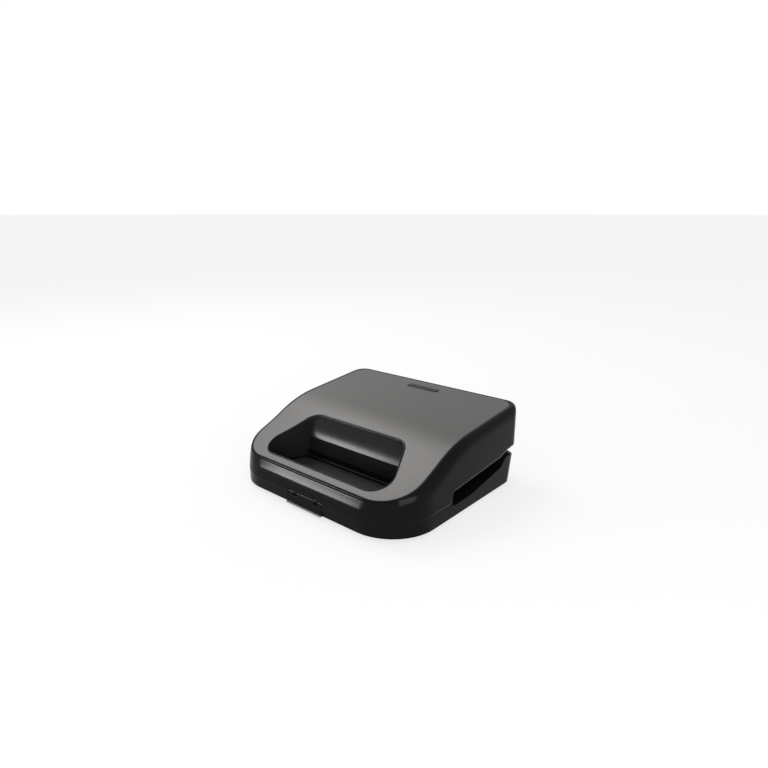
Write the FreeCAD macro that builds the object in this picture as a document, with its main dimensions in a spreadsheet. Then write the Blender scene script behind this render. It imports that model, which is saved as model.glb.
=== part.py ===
import FreeCAD, Part
import math
import operator
import os
from types import SimpleNamespace

import Sketcher

# A two-slice sandwich maker, closed. +X to the right seen from the front, +Y to the back, +Z up.
# The origin is on the table, in the middle of the machine's box. Lengths are millimetres, angles degrees.

SIZES = [
    ("overall_width", 260, "across the sides at the parting line"),
    ("overall_depth", 227.8, "front of the hanging clip to the back of the lid"),
    ("latch_reach", 2.8, "how far the hanging clip stands in front of the base"),
    ("front_corner", 54, "plan radius of the front corners"),
    ("rear_corner", 20.6, "plan radius of the rear corners"),
    ("foot_height", 4.4, "table to the underside of the base"),
    ("foot_radius", 8, "rubber foot"),
    ("foot_inset_x", 28, "side of the base to the foot's middle"),
    ("foot_inset_y", 28, "front or back of the base to the foot's middle"),
    ("parting_height", 18.8, "table to the middle of the front parting line"),
    ("parting_gap", 0.8, "open height of the parting line"),
    ("wall", 2.6, "housing wall"),
    ("fit", 0.3, "clearance round a piece that seats in another"),
    ("press_fit", 0.02, "radial clearance of a pin or screw that stays put"),
    ("running_fit", 0.05, "radial clearance of a pin that turns"),
    ("side_lean", 0.012, "lid side walls, inward per unit of height"),
    ("front_lean", 0.06, "lid front wall, inward per unit of height"),
    ("rear_lean", 0.012, "lid rear wall, inward per unit of height"),
    ("top_rear_height", 94.3, "lid top at its back edge"),
    ("crest_fall", 10.2, "lid top from its back edge down to the crest"),
    ("crest_run", 96.9, "back edge to the crest"),
    ("brow_fall", 16.8, "lid top from the crest down to the brow, where the fall turns hollow"),
    ("fall_run", 55.1, "crest to the brow"),
    ("brow_run", 73, "front edge to the brow"),
    ("nose_fall", 28.3, "lid top from the brow down to the front edge"),
    ("nose_rise", 19.8, "lid top's front edge above the parting line"),
    ("skin_thickness", 0.9, "steel sheet"),
    ("skin_front_step", 14, "sheet's front corner radius below the housing's"),
    ("skin_corner_step", 5, "sheet's rear corner radius below the housing's"),
    ("skin_inset_side", 9.6, "side of the machine to the sheet's edge"),
    ("skin_inset_front", 6.8, "front of the machine to the sheet's edge"),
    ("skin_inset_rear", 3.8, "back of the machine to the sheet's edge"),
    ("opening_margin", 15.3, "front edge to the finger opening"),
    ("opening_depth", 68.6, "finger opening, front to back in the sheet"),
    ("opening_front_side", 28, "side of the machine to the opening at its front"),
    ("opening_rear_side", 60, "side of the machine to the opening at its back"),
    ("opening_corner", 20, "plan radius of the opening's corners"),
    ("grip_wall", 2, "liner of the finger opening"),
    ("bead_height", 0.9, "liner's rim above the sheet"),
    ("roll_run", 10.9, "opening's back edge to the wall below the roll"),
    ("roll_radius", 35.7, "rolled back wall of the opening"),
    ("hollow_inset", 6, "end walls of the roll's hollow"),
    ("hollow_rise", 17, "top of the hollow above the roll's lower end"),
    ("roll_foot_height", 47, "table to the lower end of the roll"),
    ("gap_front_run", 86.5, "front edge to the start of the side gap"),
    ("gap_floor_front", 16.6, "base side wall at the start of the side gap"),
    ("gap_floor_middle", 17.2, "base side wall where it starts to climb"),
    ("gap_climb_run", 34, "start of the side gap to where the base wall climbs"),
    ("gap_floor_rear", 28, "base side wall at the back of the side gap"),
    ("shoulder_height", 38, "base side wall beside the hinge"),
    ("base_rear_height", 34, "base at its back"),
    ("lid_edge_front", 32.9, "lid side edge at the start of the side gap"),
    ("lid_edge_rear", 41, "lid side edge at the back of the side gap"),
    ("gap_rear_run", 36, "hinge axis to the back of the side gap"),
    ("gap_step_run", 3, "step down at the start of the side gap"),
    ("gap_step_round", 2, "foot of that step"),
    ("gap_edge_round", 1, "top of that step"),
    ("gap_climb_round", 60, "base wall where it starts to climb"),
    ("gap_rear_round", 12, "base wall at the back of the side gap"),
    ("shoulder_front_run", 25, "hinge axis to the front of the shoulder"),
    ("shoulder_front_round", 6, "front of the shoulder"),
    ("shoulder_rear_run", 10, "hinge axis to the back of the shoulder"),
    ("shoulder_rear_round", 4, "back of the shoulder"),
    ("rear_deck_run", 6, "hinge axis to the low back of the base"),
    ("rear_deck_round", 3, "base behind the shoulder"),
    ("lid_step_lead", 1.5, "lid wing's rear edge in front of the base's step"),
    ("lid_step_run", 2, "slope of the lid wing's rear edge"),
    ("lid_gap_lead", 1, "lid edge's bend in front of the base's"),
    ("lid_rise_run", 23, "hinge axis to where the lid edge rises"),
    ("lid_rise_drop", 1.2, "lid edge below its back height there"),
    ("lid_level_run", 15, "hinge axis to where the lid edge is level"),
    ("base_tuck_low", 10.5, "base back edge, in front of the lid's, at the bottom"),
    ("base_tuck_high", 3, "base back edge, in front of the lid's, at the top"),
    ("hinge_inset", 7.5, "back of the lid to the hinge axis"),
    ("hinge_height", 41, "table to the hinge axis"),
    ("hinge_side", 52, "side of the machine to the middle of a hinge"),
    ("hinge_pin_radius", 2.5, "hinge pin"),
    ("ear_radius", 5.7, "hinge ears and knuckles"),
    ("ear_width", 4, "one base ear"),
    ("ear_gap", 0.5, "ear to knuckle"),
    ("knuckle_width", 10, "lid knuckle"),
    ("cook_height", 30.5, "table to the plane where the plates meet"),
    ("plate_gap", 0.6, "between the closed plates"),
    ("plate_side", 24, "side of the machine to a plate"),
    ("plate_rear_run", 14, "back of a plate to the hinge axis"),
    ("plate_thickness", 12, "removable plate"),
    ("plate_corner", 8, "plan radius of a plate's corners"),
    ("plate_clearance", 0.5, "plate to its collar"),
    ("pocket_depth", 9, "one triangle pocket"),
    ("pocket_corner", 7, "plan radius of a pocket's corners"),
    ("pocket_draft", 20, "slope of a pocket's walls"),
    ("pocket_rim", 7, "plate edge to the pockets"),
    ("ridge_width", 10, "between two pockets"),
    ("ridge_lead", 12, "ridge between two pockets, along the plate's edge"),
    ("tab_width", 14, "rear tab of a plate"),
    ("tab_length", 4, "rear tab of a plate"),
    ("tab_thickness", 3, "rear tab of a plate"),
    ("tab_side", 51, "plate's side to the middle of a rear tab"),
    ("tab_drop", 3.2, "plate face to its rear tab"),
    ("bump_radius", 6, "front bump of a plate"),
    ("bump_length", 4, "front bump of a plate"),
    ("bump_thickness", 3.8, "front bump of a plate"),
    ("bump_drop", 4.4, "plate face to its front bump"),
    ("front_collar", 5.5, "base wall between the finger opening and the plate"),
    ("collar_wall", 2.6, "wall round a plate"),
    ("collar_drop", 0.9, "meeting plane to the edge of a collar"),
    ("lip_width", 6, "ledge that a plate sits on"),
    ("lip_thickness", 2.6, "ledge that a plate sits on"),
    ("catch_side", 14, "plate's side to the middle of a catch"),
    ("catch_width", 11, "sliding plate catch"),
    ("catch_length", 13, "sliding plate catch"),
    ("catch_thickness", 2.4, "sliding plate catch"),
    ("catch_hold", 2.5, "catch over its bump"),
    ("catch_travel", 3.5, "slide that frees the bump"),
    ("catch_pad", 5, "thumb pad of a catch"),
    ("catch_rail", 1.6, "rail over each side of a catch"),
    ("deck_pad_side", 77, "side of the machine to the raised part of the deck"),
    ("deck_pad_height", 1, "raised part of the deck in the finger opening"),
    ("deck_pad_inset", 5, "front of the opening to the raised part of the deck"),
    ("cover_thickness", 2.2, "base cover"),
    ("lid_room_side", 3, "collar to the base's cheeks"),
    ("lid_room_rear", 2.4, "collar to the base's rear bridge"),
    ("ear_web_reach", 1.5, "ear's web behind the hinge axis"),
    ("knuckle_web", 14, "knuckle's web up the lid's back wall"),
    ("post_radius", 2.5, "posts of the shields and the lamp board"),
    ("post_end", 22, "plate's front or back to the shield posts"),
    ("shield_post_inset", 30, "plate's side to the posts on the base cover"),
    ("frame_post_inset", 4, "plate's side to the posts on the lid frame"),
    ("board_post_inset", 3, "lens's end to the lamp board's post"),
    ("handle_cover_gap", 1.5, "handle's underside to the catch housings"),
    ("handle_cover_lift", 1.4, "parting line to the handle's underside"),
    ("frame_height", 43.5, "table to the underside of the lid frame's flange"),
    ("frame_thickness", 2.5, "lid frame's flange"),
    ("frame_rear_reach", 2, "flange behind its collar"),
    ("rod_radius", 3.3, "heating rod"),
    ("rod_bend", 24, "middle radius of the heating rod's bend"),
    ("rod_side", 30, "plate's side to the end of the heating rod"),
    ("shield_thickness", 0.8, "heat shield"),
    ("shield_gap", 1, "heating rod to its heat shield"),
    ("clip_width", 8, "heating rod clip"),
    ("clip_side", 2, "clip beside the rod"),
    ("clip_x", 20, "middle of a clip"),
    ("thermostat_radius", 8, "thermostat"),
    ("thermostat_x", 20, "middle of the thermostat"),
    ("fuse_radius", 3, "thermal fuse"),
    ("fuse_length", 25, "thermal fuse"),
    ("fuse_x", 20, "left end of the thermal fuse"),
    ("gland_side", 70, "side of the machine to the middle of the cord gland"),
    ("gland_height", 17, "table to the middle of the cord gland"),
    ("gland_radius", 6.5, "cord gland in the wall"),
    ("gland_flange", 1.6, "cord gland's collar beyond its hole"),
    ("gland_bore", 3.5, "cord gland's bore"),
    ("gland_depth", 2.5, "cord gland inside the back wall's foot"),
    ("gland_reach", 6.6, "cord gland behind the back wall's foot"),
    ("gland_rim", 2.2, "thickness of the cord gland's collar"),
    ("terminal_width", 12, "terminal block"),
    ("terminal_length", 24, "terminal block"),
    ("terminal_height", 8, "terminal block"),
    ("terminal_gap", 2, "side wall to the terminal block"),
    ("terminal_screw_gap", 16, "rear screw of the base to the terminal block"),
    ("lens_length", 48.5, "indicator lens"),
    ("lens_width", 9.5, "indicator lens"),
    ("lens_inset", 20.5, "back of the lid to the lens's middle"),
    ("lens_depth", 3.2, "indicator lens below the sheet"),
    ("lens_proud", 0.4, "indicator lens above the sheet"),
    ("lamp_radius", 2.4, "signal lamp"),
    ("lamp_length", 6.4, "signal lamp"),
    ("lamp_x", 12, "middle of a signal lamp"),
    ("board_thickness", 1.6, "lamp board"),
    ("board_margin", 2.5, "lamp board beyond the lens"),
    ("boss_radius", 4, "screw boss"),
    ("base_screw_front_side", 70, "side to a front screw of the base cover"),
    ("base_screw_front", 37, "front to a front screw of the base cover"),
    ("base_screw_side", 12, "side to a rear screw of the base cover"),
    ("base_screw_rear", 45, "hinge axis to a rear screw of the base cover"),
    ("frame_screw_side", 14, "side to a lid frame screw"),
    ("frame_screw_front", 30, "middle of the plate to a front screw of the lid frame"),
    ("frame_screw_rear", 25, "hinge axis to a rear screw of the lid frame"),
    ("handle_screw_side", 22, "side to a handle screw"),
    ("handle_screw_front", 42, "front to a handle screw"),
    ("screw_radius", 1.5, "screw shank"),
    ("screw_head_radius", 3, "screw head"),
    ("screw_head_height", 1.4, "screw head"),
    ("screw_length", 9, "screw shank"),
    ("latch_width", 53, "front clip"),
    ("latch_plate", 2.6, "front clip's plate"),
    ("latch_inset", 2.9, "front of the base to the clip's axis"),
    ("latch_axis_drop", 2.4, "parting line to the clip's axis"),
    ("latch_barrel", 2.3, "radius of the clip's barrel"),
    ("latch_pin_radius", 1.2, "clip's pin"),
    ("latch_lip_height", 3.2, "table to the clip's lower edge when latched"),
    ("latch_lip_thickness", 2, "finger lip of the clip"),
    ("latch_lip_reach", 1.5, "finger lip in front of the clip's plate"),
    ("latch_ledge_height", 8.4, "table to the ledge that the hook holds"),
    ("latch_hook_thickness", 2.4, "hook of the clip"),
    ("latch_hook_hold", 1.9, "hook under its ledge"),
    ("latch_hook_inset", 6, "clip's side to its hook"),
    ("latch_recess", 6, "depth of the clip's recess in the base"),
    ("latch_play", 0.6, "clip to the sides of its recess"),
    ("lug_x", 16, "middle of a lid lug in the clip"),
    ("lug_width", 5, "lid lug in the clip"),
    ("lug_room", 1.1, "room round a lug in the clip"),
    ("latch_pin_inset", 1, "clip's side to the end of its pin"),
    ("latch_rest_angle", 11, "clip at rest, from latched"),
]

doc = FreeCAD.newDocument("sandwich_maker")
sheet = doc.addObject("Spreadsheet::Sheet", "sizes")
for row, (alias, number, meaning) in enumerate(SIZES, start=1):
    sheet.set(f"A{row}", meaning)
    sheet.set(f"B{row}", str(number))
    sheet.setAlias(f"B{row}", alias)
doc.recompute()

SIGNS = {"+": operator.add, "-": operator.sub, "*": operator.mul, "/": operator.truediv}
FLAT = FreeCAD.Rotation()
SIDE = FreeCAD.Rotation(FreeCAD.Vector(1, 1, 1), 120)
ALONG = {
    "x": FreeCAD.Rotation(FreeCAD.Vector(0, 1, 0), 90),
    "y": FreeCAD.Rotation(FreeCAD.Vector(1, 0, 0), -90),
    "z": FreeCAD.Rotation(),
}
NODES = []


class Tied:
    """A number worked out from the sheet, with the expression that keeps it tied to the sheet."""

    def __init__(self, number, text):
        self.number = number
        self.text = text

    def joined(self, sign, other, swap=False):
        other = tied(other)
        left, right = (other, self) if swap else (self, other)
        return Tied(SIGNS[sign](left.number, right.number), f"({left.text} {sign} {right.text})")

    def __add__(self, other):
        return self.joined("+", other)

    def __radd__(self, other):
        return self.joined("+", other, swap=True)

    def __sub__(self, other):
        return self.joined("-", other)

    def __rsub__(self, other):
        return self.joined("-", other, swap=True)

    def __mul__(self, other):
        return self.joined("*", other)

    def __rmul__(self, other):
        return self.joined("*", other, swap=True)

    def __truediv__(self, other):
        return self.joined("/", other)

    def __neg__(self):
        return self.joined("*", -1)


def tied(value):
    return value if isinstance(value, Tied) else Tied(float(value), str(float(value)))


def bind(thing, place, value):
    thing.setExpression(place, tied(value).text)


def move(thing, x=0, y=0, z=0):
    for axis, value in zip("xyz", (x, y, z)):
        bind(thing, f".Placement.Base.{axis}", value)


def node(thing, name):
    thing.Label = name
    NODES.append(thing)
    return thing


def box(name, x, y, z):
    block = doc.addObject("Part::Box", name)
    for place, (low, high) in zip(("Length", "Width", "Height"), (x, y, z)):
        bind(block, place, tied(high) - low)
    move(block, x[0], y[0], z[0])
    return block


def mirrored_boxes(name, x, y, z):
    right = box(name + "_right", x, y, z)
    left = box(name + "_left", (-tied(x[1]), -tied(x[0])), y, z)
    return [left, right]


def cylinder(name, along, radius, middle, span):
    """A cylinder along one axis: middle holds its other two coordinates, in x, y, z order."""
    rod = doc.addObject("Part::Cylinder", name)
    rod.Placement.Rotation = ALONG[along]
    bind(rod, "Radius", radius)
    bind(rod, "Height", tied(span[1]) - span[0])
    places = dict(zip([axis for axis in "xyz" if axis != along], middle))
    places[along] = span[0]
    move(rod, **places)
    return rod


def cut(name, base, *tools):
    tool = tools[0] if len(tools) == 1 else fuse(name + "_tools", *tools)
    result = doc.addObject("Part::Cut", name)
    result.Base = base
    result.Tool = tool
    result.Refine = True
    return result


def fuse(name, *pieces):
    result = doc.addObject("Part::MultiFuse", name)
    result.Shapes = list(pieces)
    result.Refine = True
    return result


def common(name, *pieces):
    result = doc.addObject("Part::MultiCommon", name)
    result.Shapes = list(pieces)
    result.Refine = True
    return result


def place_point(sketch, geometry, position, u, v):
    for kind, value in (("DistanceX", u), ("DistanceY", v)):
        value = tied(value)
        constraint = Sketcher.Constraint(kind, -1, 1, geometry, position, value.number)
        bind(sketch, f"Constraints[{sketch.addConstraint(constraint)}]", value)


def new_sketch(name, facing, height=0):
    sketch = doc.addObject("Sketcher::SketchObject", name)
    sketch.Placement.Rotation = facing
    move(sketch, z=height)
    return sketch


def rounded_corner(before, corner, after, radius):
    """Tangent points, middle and angles of the arc that rounds a corner."""
    to_before = (before - corner).normalize()
    to_after = (after - corner).normalize()
    half = to_before.getAngle(to_after) / 2
    reach = radius / math.tan(half)
    middle = corner + (to_before + to_after).normalize() * (radius / math.sin(half))
    start = corner + to_before * reach
    end = corner + to_after * reach
    return start, end, middle


def outline(name, corners, facing=FLAT, height=0):
    """A closed sketch of straight sides. Each corner is (u, v) or (u, v, radius)."""
    sketch = new_sketch(name, facing, height)
    points = [FreeCAD.Vector(tied(u).number, tied(v).number, 0) for u, v, *rest in corners]
    count = len(corners)
    starts, ends, arcs = [], [], []
    for i, (u, v, *rest) in enumerate(corners):
        arc = None
        start = end = points[i]
        if rest:
            radius = tied(rest[0]).number
            start, end, middle = rounded_corner(points[i - 1], points[i], points[(i + 1) % count], radius)
            turn = (points[i] - points[i - 1]).cross(points[(i + 1) % count] - points[i]).z
            first, last = (start, end) if turn > 0 else (end, start)
            angles = [math.atan2(p.y - middle.y, p.x - middle.x) for p in (first, last)]
            arc = (Part.ArcOfCircle(Part.Circle(middle, FreeCAD.Vector(0, 0, 1), radius), *angles), turn > 0)
        starts.append(start)
        ends.append(end)
        arcs.append(arc)
    for i in range(count):
        sketch.addGeometry(Part.LineSegment(ends[i], starts[(i + 1) % count]), False)
    for i, (u, v, *rest) in enumerate(corners):
        before = (i - 1) % count
        if not rest:
            sketch.addConstraint(Sketcher.Constraint("Coincident", before, 2, i, 1))
            place_point(sketch, i, 1, u, v)
            continue
        shape, forward = arcs[i]
        arc = sketch.addGeometry(shape, False)
        first, last = (1, 2) if forward else (2, 1)
        sketch.addConstraint(Sketcher.Constraint("Tangent", before, 2, arc, first))
        sketch.addConstraint(Sketcher.Constraint("Tangent", i, 1, arc, last))
        radius = sketch.addConstraint(Sketcher.Constraint("Radius", arc, tied(rest[0]).number))
        bind(sketch, f"Constraints[{radius}]", rest[0])
        corner = sketch.addGeometry(Part.Point(points[i]), True)
        sketch.addConstraint(Sketcher.Constraint("PointOnObject", corner, 1, before))
        sketch.addConstraint(Sketcher.Constraint("PointOnObject", corner, 1, i))
        place_point(sketch, corner, 1, u, v)
    return sketch


def extrude(name, sketch, length, both_ways=False, reverse=False, taper=None):
    solid = doc.addObject("Part::Extrusion", name)
    solid.Base = sketch
    solid.DirMode = "Normal"
    solid.Solid = True
    solid.Symmetric = both_ways
    solid.Reversed = reverse
    bind(solid, "LengthFwd", length)
    if taper is not None:
        bind(solid, "TaperAngle", taper)
    return solid


def loft(name, *sketches):
    solid = doc.addObject("Part::Loft", name)
    solid.Sections = list(sketches)
    solid.Solid = True
    solid.Ruled = True
    return solid


size = SimpleNamespace(**{alias: Tied(float(number), f"sizes.{alias}") for alias, number, meaning in SIZES})

# Places that several pieces share
side = size.overall_width / 2
rear = size.overall_depth / 2
front = size.latch_reach - size.overall_depth / 2
beyond = 12  # how far a tool runs past the machine
bite = 1  # how far a joined block or a cut runs past a face
ceiling = size.top_rear_height + beyond
parting_low = size.parting_height - size.parting_gap / 2
parting_high = size.parting_height + size.parting_gap / 2
profile_run = (rear - front) / (size.crest_run + size.fall_run + size.brow_run)
profile_fall = size.crest_fall + size.brow_fall + size.nose_fall
profile_rise = (size.top_rear_height - parting_high) / (profile_fall + size.nose_rise)
crest_y = rear - size.crest_run * profile_run
brow_y = front + size.brow_run * profile_run
crest_height = size.top_rear_height - size.crest_fall * profile_rise
brow_height = crest_height - size.brow_fall * profile_rise
nose_height = brow_height - size.nose_fall * profile_rise
top_slope = (size.top_rear_height - crest_height) / (rear - crest_y)
hinge_y = rear - size.hinge_inset
lid_rear_edge = size.hinge_height + size.ear_radius + size.ear_gap
gap_front = front + size.gap_front_run
gap_rear = hinge_y - size.gap_rear_run
opening_front = front + size.opening_margin
opening_rear = opening_front + size.opening_depth
well_y = opening_rear - size.roll_run
opening_front_half = side - size.opening_front_side
opening_rear_half = side - size.opening_rear_side
opening_slope = (opening_front_half - opening_rear_half) / size.opening_depth
plate_half = side - size.plate_side
plate_front = well_y + size.front_collar + size.plate_clearance
plate_rear = hinge_y - size.plate_rear_run
plate_middle = (plate_front + plate_rear) / 2
catch_x = plate_half - size.catch_side
tab_x = plate_half - size.tab_side
rod_run = plate_half - size.rod_side
hinge_x = side - size.hinge_side
gland_x = side - size.gland_side
deck_pad_half = side - size.deck_pad_side
collar_half = plate_half + size.plate_clearance + size.collar_wall
collar_front = plate_front - size.plate_clearance - size.collar_wall
collar_rear = plate_rear + size.plate_clearance + size.collar_wall
catch_front = plate_front - size.bump_length + size.catch_hold - size.catch_length
housing_front = catch_front - size.catch_travel - size.fit - size.collar_wall / 2
latch_y = front + size.latch_inset
latch_z = parting_low - size.latch_axis_drop + size.parting_gap / 2
recess_half = size.latch_width / 2 + size.latch_play
recess_back = front + size.latch_recess


def plan(name, height, half_width, low_y, high_y, inset=0):
    front_radius = size.front_corner - inset
    rear_radius = size.rear_corner - inset
    corners = [
        (-tied(half_width), low_y, front_radius),
        (half_width, low_y, front_radius),
        (half_width, high_y, rear_radius),
        (-tied(half_width), high_y, rear_radius),
    ]
    return outline(name, corners, height=height)


def lid_body(name, inset=0):
    """The lid's leaning walls, from below the parting line to above the top."""
    sections = []
    for label, height in (("low", parting_high - beyond), ("high", ceiling)):
        rise = height - parting_high
        half_width = side - size.side_lean * rise - inset
        low_y = front + size.front_lean * rise + inset
        high_y = rear - size.rear_lean * rise - inset
        sections.append(plan(f"{name}_{label}", height, half_width, low_y, high_y, inset))
    return loft(name, *sections)


def base_body(name, low, inset=0):
    """The base's walls, upright but for the back, which leans out."""
    sections = []
    levels = (("low", low, size.base_tuck_low), ("high", size.hinge_height, size.base_tuck_high))
    for label, height, tuck in levels:
        high_y = rear - tuck - inset
        sections.append(plan(f"{name}_{label}", height, side - inset, front + inset, high_y, inset))
    return loft(name, *sections)


def arc_between(start, slope, end):
    """Middle of the circle through two points that leaves the first one along a slope."""
    along = FreeCAD.Vector(1, slope, 0).normalize()
    across = FreeCAD.Vector(-along.y, along.x, 0)
    chord = end - start
    reach = chord.dot(chord) / (2 * chord.dot(across))
    return start + across * reach, abs(reach)


def under_top(name, drop, lower_edge=None):
    """Everything under the lid's top surface, lowered by a drop, down to a lower edge."""
    sketch = new_sketch(name + "_sketch", SIDE)
    crest = (crest_y, crest_height - drop)
    brow = (brow_y, brow_height - drop)
    nose = (front, nose_height - drop)
    back_end = (rear + beyond, size.top_rear_height + top_slope * beyond - drop)
    front_end = (front - beyond, nose_height - drop - beyond / 4)
    if lower_edge is None:
        lower_edge = [(front - beyond, tied(0)), (rear + beyond, tied(0))]
    chain = [front_end, *lower_edge, back_end, crest]
    points = [FreeCAD.Vector(u.number, v.number, 0) for u, v in chain]
    crest_point = points[-1]
    brow_point, nose_point = (FreeCAD.Vector(u.number, v.number, 0) for u, v in (brow, nose))
    for first, last in zip(points, points[1:]):
        sketch.addGeometry(Part.LineSegment(first, last), False)
    back_line = len(points) - 2
    up = FreeCAD.Vector(0, 0, 1)
    slope = (points[-2].y - points[-1].y) / (points[-2].x - points[-1].x)
    middle, radius = arc_between(crest_point, slope, brow_point)
    angles = [math.atan2(p.y - middle.y, p.x - middle.x) for p in (crest_point, brow_point)]
    fall = sketch.addGeometry(Part.ArcOfCircle(Part.Circle(middle, up, radius), *angles), False)
    brow_slope = -(brow_point.x - middle.x) / (brow_point.y - middle.y)
    middle, radius = arc_between(brow_point, brow_slope, nose_point)
    angles = [math.atan2(p.y - middle.y, p.x - middle.x) for p in (nose_point, brow_point)]
    hollow = sketch.addGeometry(Part.ArcOfCircle(Part.Circle(middle, up, radius), *angles), False)
    close = sketch.addGeometry(Part.LineSegment(nose_point, points[0]), False)
    for i, (u, v) in enumerate(chain[:-1]):
        place_point(sketch, i, 1, u, v)
        if i:
            sketch.addConstraint(Sketcher.Constraint("Coincident", i - 1, 2, i, 1))
    sketch.addConstraint(Sketcher.Constraint("Tangent", back_line, 2, fall, 1))
    place_point(sketch, fall, 1, *crest)
    place_point(sketch, fall, 2, *brow)
    sketch.addConstraint(Sketcher.Constraint("Tangent", fall, 2, hollow, 2))
    place_point(sketch, hollow, 1, *nose)
    sketch.addConstraint(Sketcher.Constraint("Coincident", close, 1, hollow, 1))
    sketch.addConstraint(Sketcher.Constraint("Coincident", close, 2, 0, 1))
    return extrude(name, sketch, size.overall_width + 2 * beyond, both_ways=True)


def under_base_top(name, drop):
    """Everything under the base's top edge, seen from the side, lowered by a drop."""
    corners = [
        (front - beyond, 0),
        (rear + beyond, 0),
        (rear + beyond, size.base_rear_height - drop),
        (hinge_y - size.rear_deck_run, size.base_rear_height - drop, size.rear_deck_round),
        (hinge_y - size.shoulder_rear_run, size.shoulder_height - drop, size.shoulder_rear_round),
        (hinge_y - size.shoulder_front_run, size.shoulder_height - drop, size.shoulder_front_round),
        (gap_rear, size.gap_floor_rear - drop, size.gap_rear_round),
        (gap_front + size.gap_climb_run, size.gap_floor_middle - drop, size.gap_climb_round),
        (gap_front + size.gap_step_run, size.gap_floor_front - drop, size.gap_step_round),
        (gap_front, parting_low - drop, size.gap_edge_round),
        (front - beyond, parting_low - drop),
    ]
    sketch = outline(name + "_sketch", corners, SIDE)
    return extrude(name, sketch, size.overall_width + 2 * beyond, both_ways=True)


def opening_prism(name, grow, low, rear_edge=opening_rear):
    """The finger opening's outline grown by an amount, from a height to above the lid."""
    rear_half = opening_rear_half + opening_slope * (opening_rear - rear_edge)
    radius = size.opening_corner + grow
    corners = [
        (-opening_front_half - grow, opening_front - grow, radius),
        (opening_front_half + grow, opening_front - grow, radius),
        (rear_half + grow, rear_edge + grow, radius),
        (-rear_half - grow, rear_edge + grow, radius),
    ]
    return extrude(name, outline(name + "_sketch", corners, height=low), ceiling - low)


def lens_prism(name, grow):
    half_length = size.lens_length / 2 + grow
    half_width = size.lens_width / 2 + grow
    middle = rear - size.lens_inset
    bar = box(name + "_bar", (half_width - half_length, half_length - half_width),
              (middle - half_width, middle + half_width), (brow_height, ceiling))
    ends = [
        cylinder(f"{name}_end_{i}", "z", half_width, (way * (half_length - half_width), middle),
                 (brow_height, ceiling))
        for i, way in enumerate((-1, 1))
    ]
    return fuse(name, bar, *ends)


def flip(height, upper):
    """A height in the lower half of the cooking space, or its mirror image in the upper half."""
    return 2 * size.cook_height - height if upper else tied(height)


def span(low, high, upper):
    return (flip(high, True), flip(low, True)) if upper else (tied(low), tied(high))


plate_face = size.cook_height - size.plate_gap / 2
plate_back = plate_face - size.plate_thickness
bump_top = plate_face - size.bump_drop
catch_low = bump_top + size.fit
catch_high = catch_low + size.catch_thickness
collar_edge = size.cook_height - size.collar_drop
rod_z = plate_back - size.rod_radius - size.running_fit
shield_top = rod_z - size.rod_radius - size.shield_gap
cover_top = size.foot_height + size.cover_thickness
frame_top = size.frame_height + size.frame_thickness


def catch_cuts(name, upper):
    """Room for the plate's front bumps and for the two catches that hold them."""
    cuts = []
    half = size.catch_width / 2 + size.fit
    neck = size.catch_width / 2 - size.catch_rail + size.fit
    for i, way in enumerate((-1, 1)):
        middle = way * catch_x
        slot_front = catch_front - size.catch_travel - size.fit
        cuts.append(box(f"{name}_slot_{i}", (middle - half, middle + half), (slot_front, plate_front),
                        span(catch_low - size.fit / 2, catch_high + size.fit / 2, upper)))
        cuts.append(box(f"{name}_neck_{i}", (middle - neck, middle + neck), (slot_front, plate_front),
                        span(catch_low, size.cook_height, upper)))
        bump = size.bump_radius + size.plate_clearance
        cuts.append(box(f"{name}_bump_{i}", (middle - bump, middle + bump),
                        (plate_front - size.bump_length - size.plate_clearance, plate_front),
                        span(bump_top - size.bump_thickness - size.fit, size.cook_height, upper)))
        tab = size.tab_width / 2 + size.fit
        tab_middle = way * tab_x
        tab_top = plate_face - size.tab_drop
        cuts.append(box(f"{name}_tab_{i}", (tab_middle - tab, tab_middle + tab),
                        (plate_rear, plate_rear + size.tab_length + size.plate_clearance),
                        span(tab_top - size.tab_thickness - size.fit, tab_top + size.fit, upper)))
    return cuts


def catch_housings(name, low, high, back, upper):
    inner = catch_x - size.catch_width / 2 - size.catch_rail
    outer = catch_x + size.catch_width / 2 + size.catch_rail
    return mirrored_boxes(name, (inner, outer), (housing_front, back), span(low, high, upper))


def plate_rectangle(name, grow, z):
    return box(name, (-plate_half - grow, plate_half + grow), (plate_front - grow, plate_rear + grow), z)


def screw_bore(name, place, low, high):
    return cylinder(name, "z", size.screw_radius + size.press_fit, place, (low, high))


# Where the screws go
def screw_pair(inset, y):
    return [(way * (side - inset), y) for way in (-1, 1)]


base_screw_places = screw_pair(size.base_screw_front_side, front + size.base_screw_front)
base_screw_places += screw_pair(size.base_screw_side, hinge_y - size.base_screw_rear)
frame_screw_places = screw_pair(size.frame_screw_side, plate_middle - size.frame_screw_front)
frame_screw_places += screw_pair(size.frame_screw_side, hinge_y - size.frame_screw_rear)
handle_screw_places = screw_pair(size.handle_screw_side, front + size.handle_screw_front)


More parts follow.
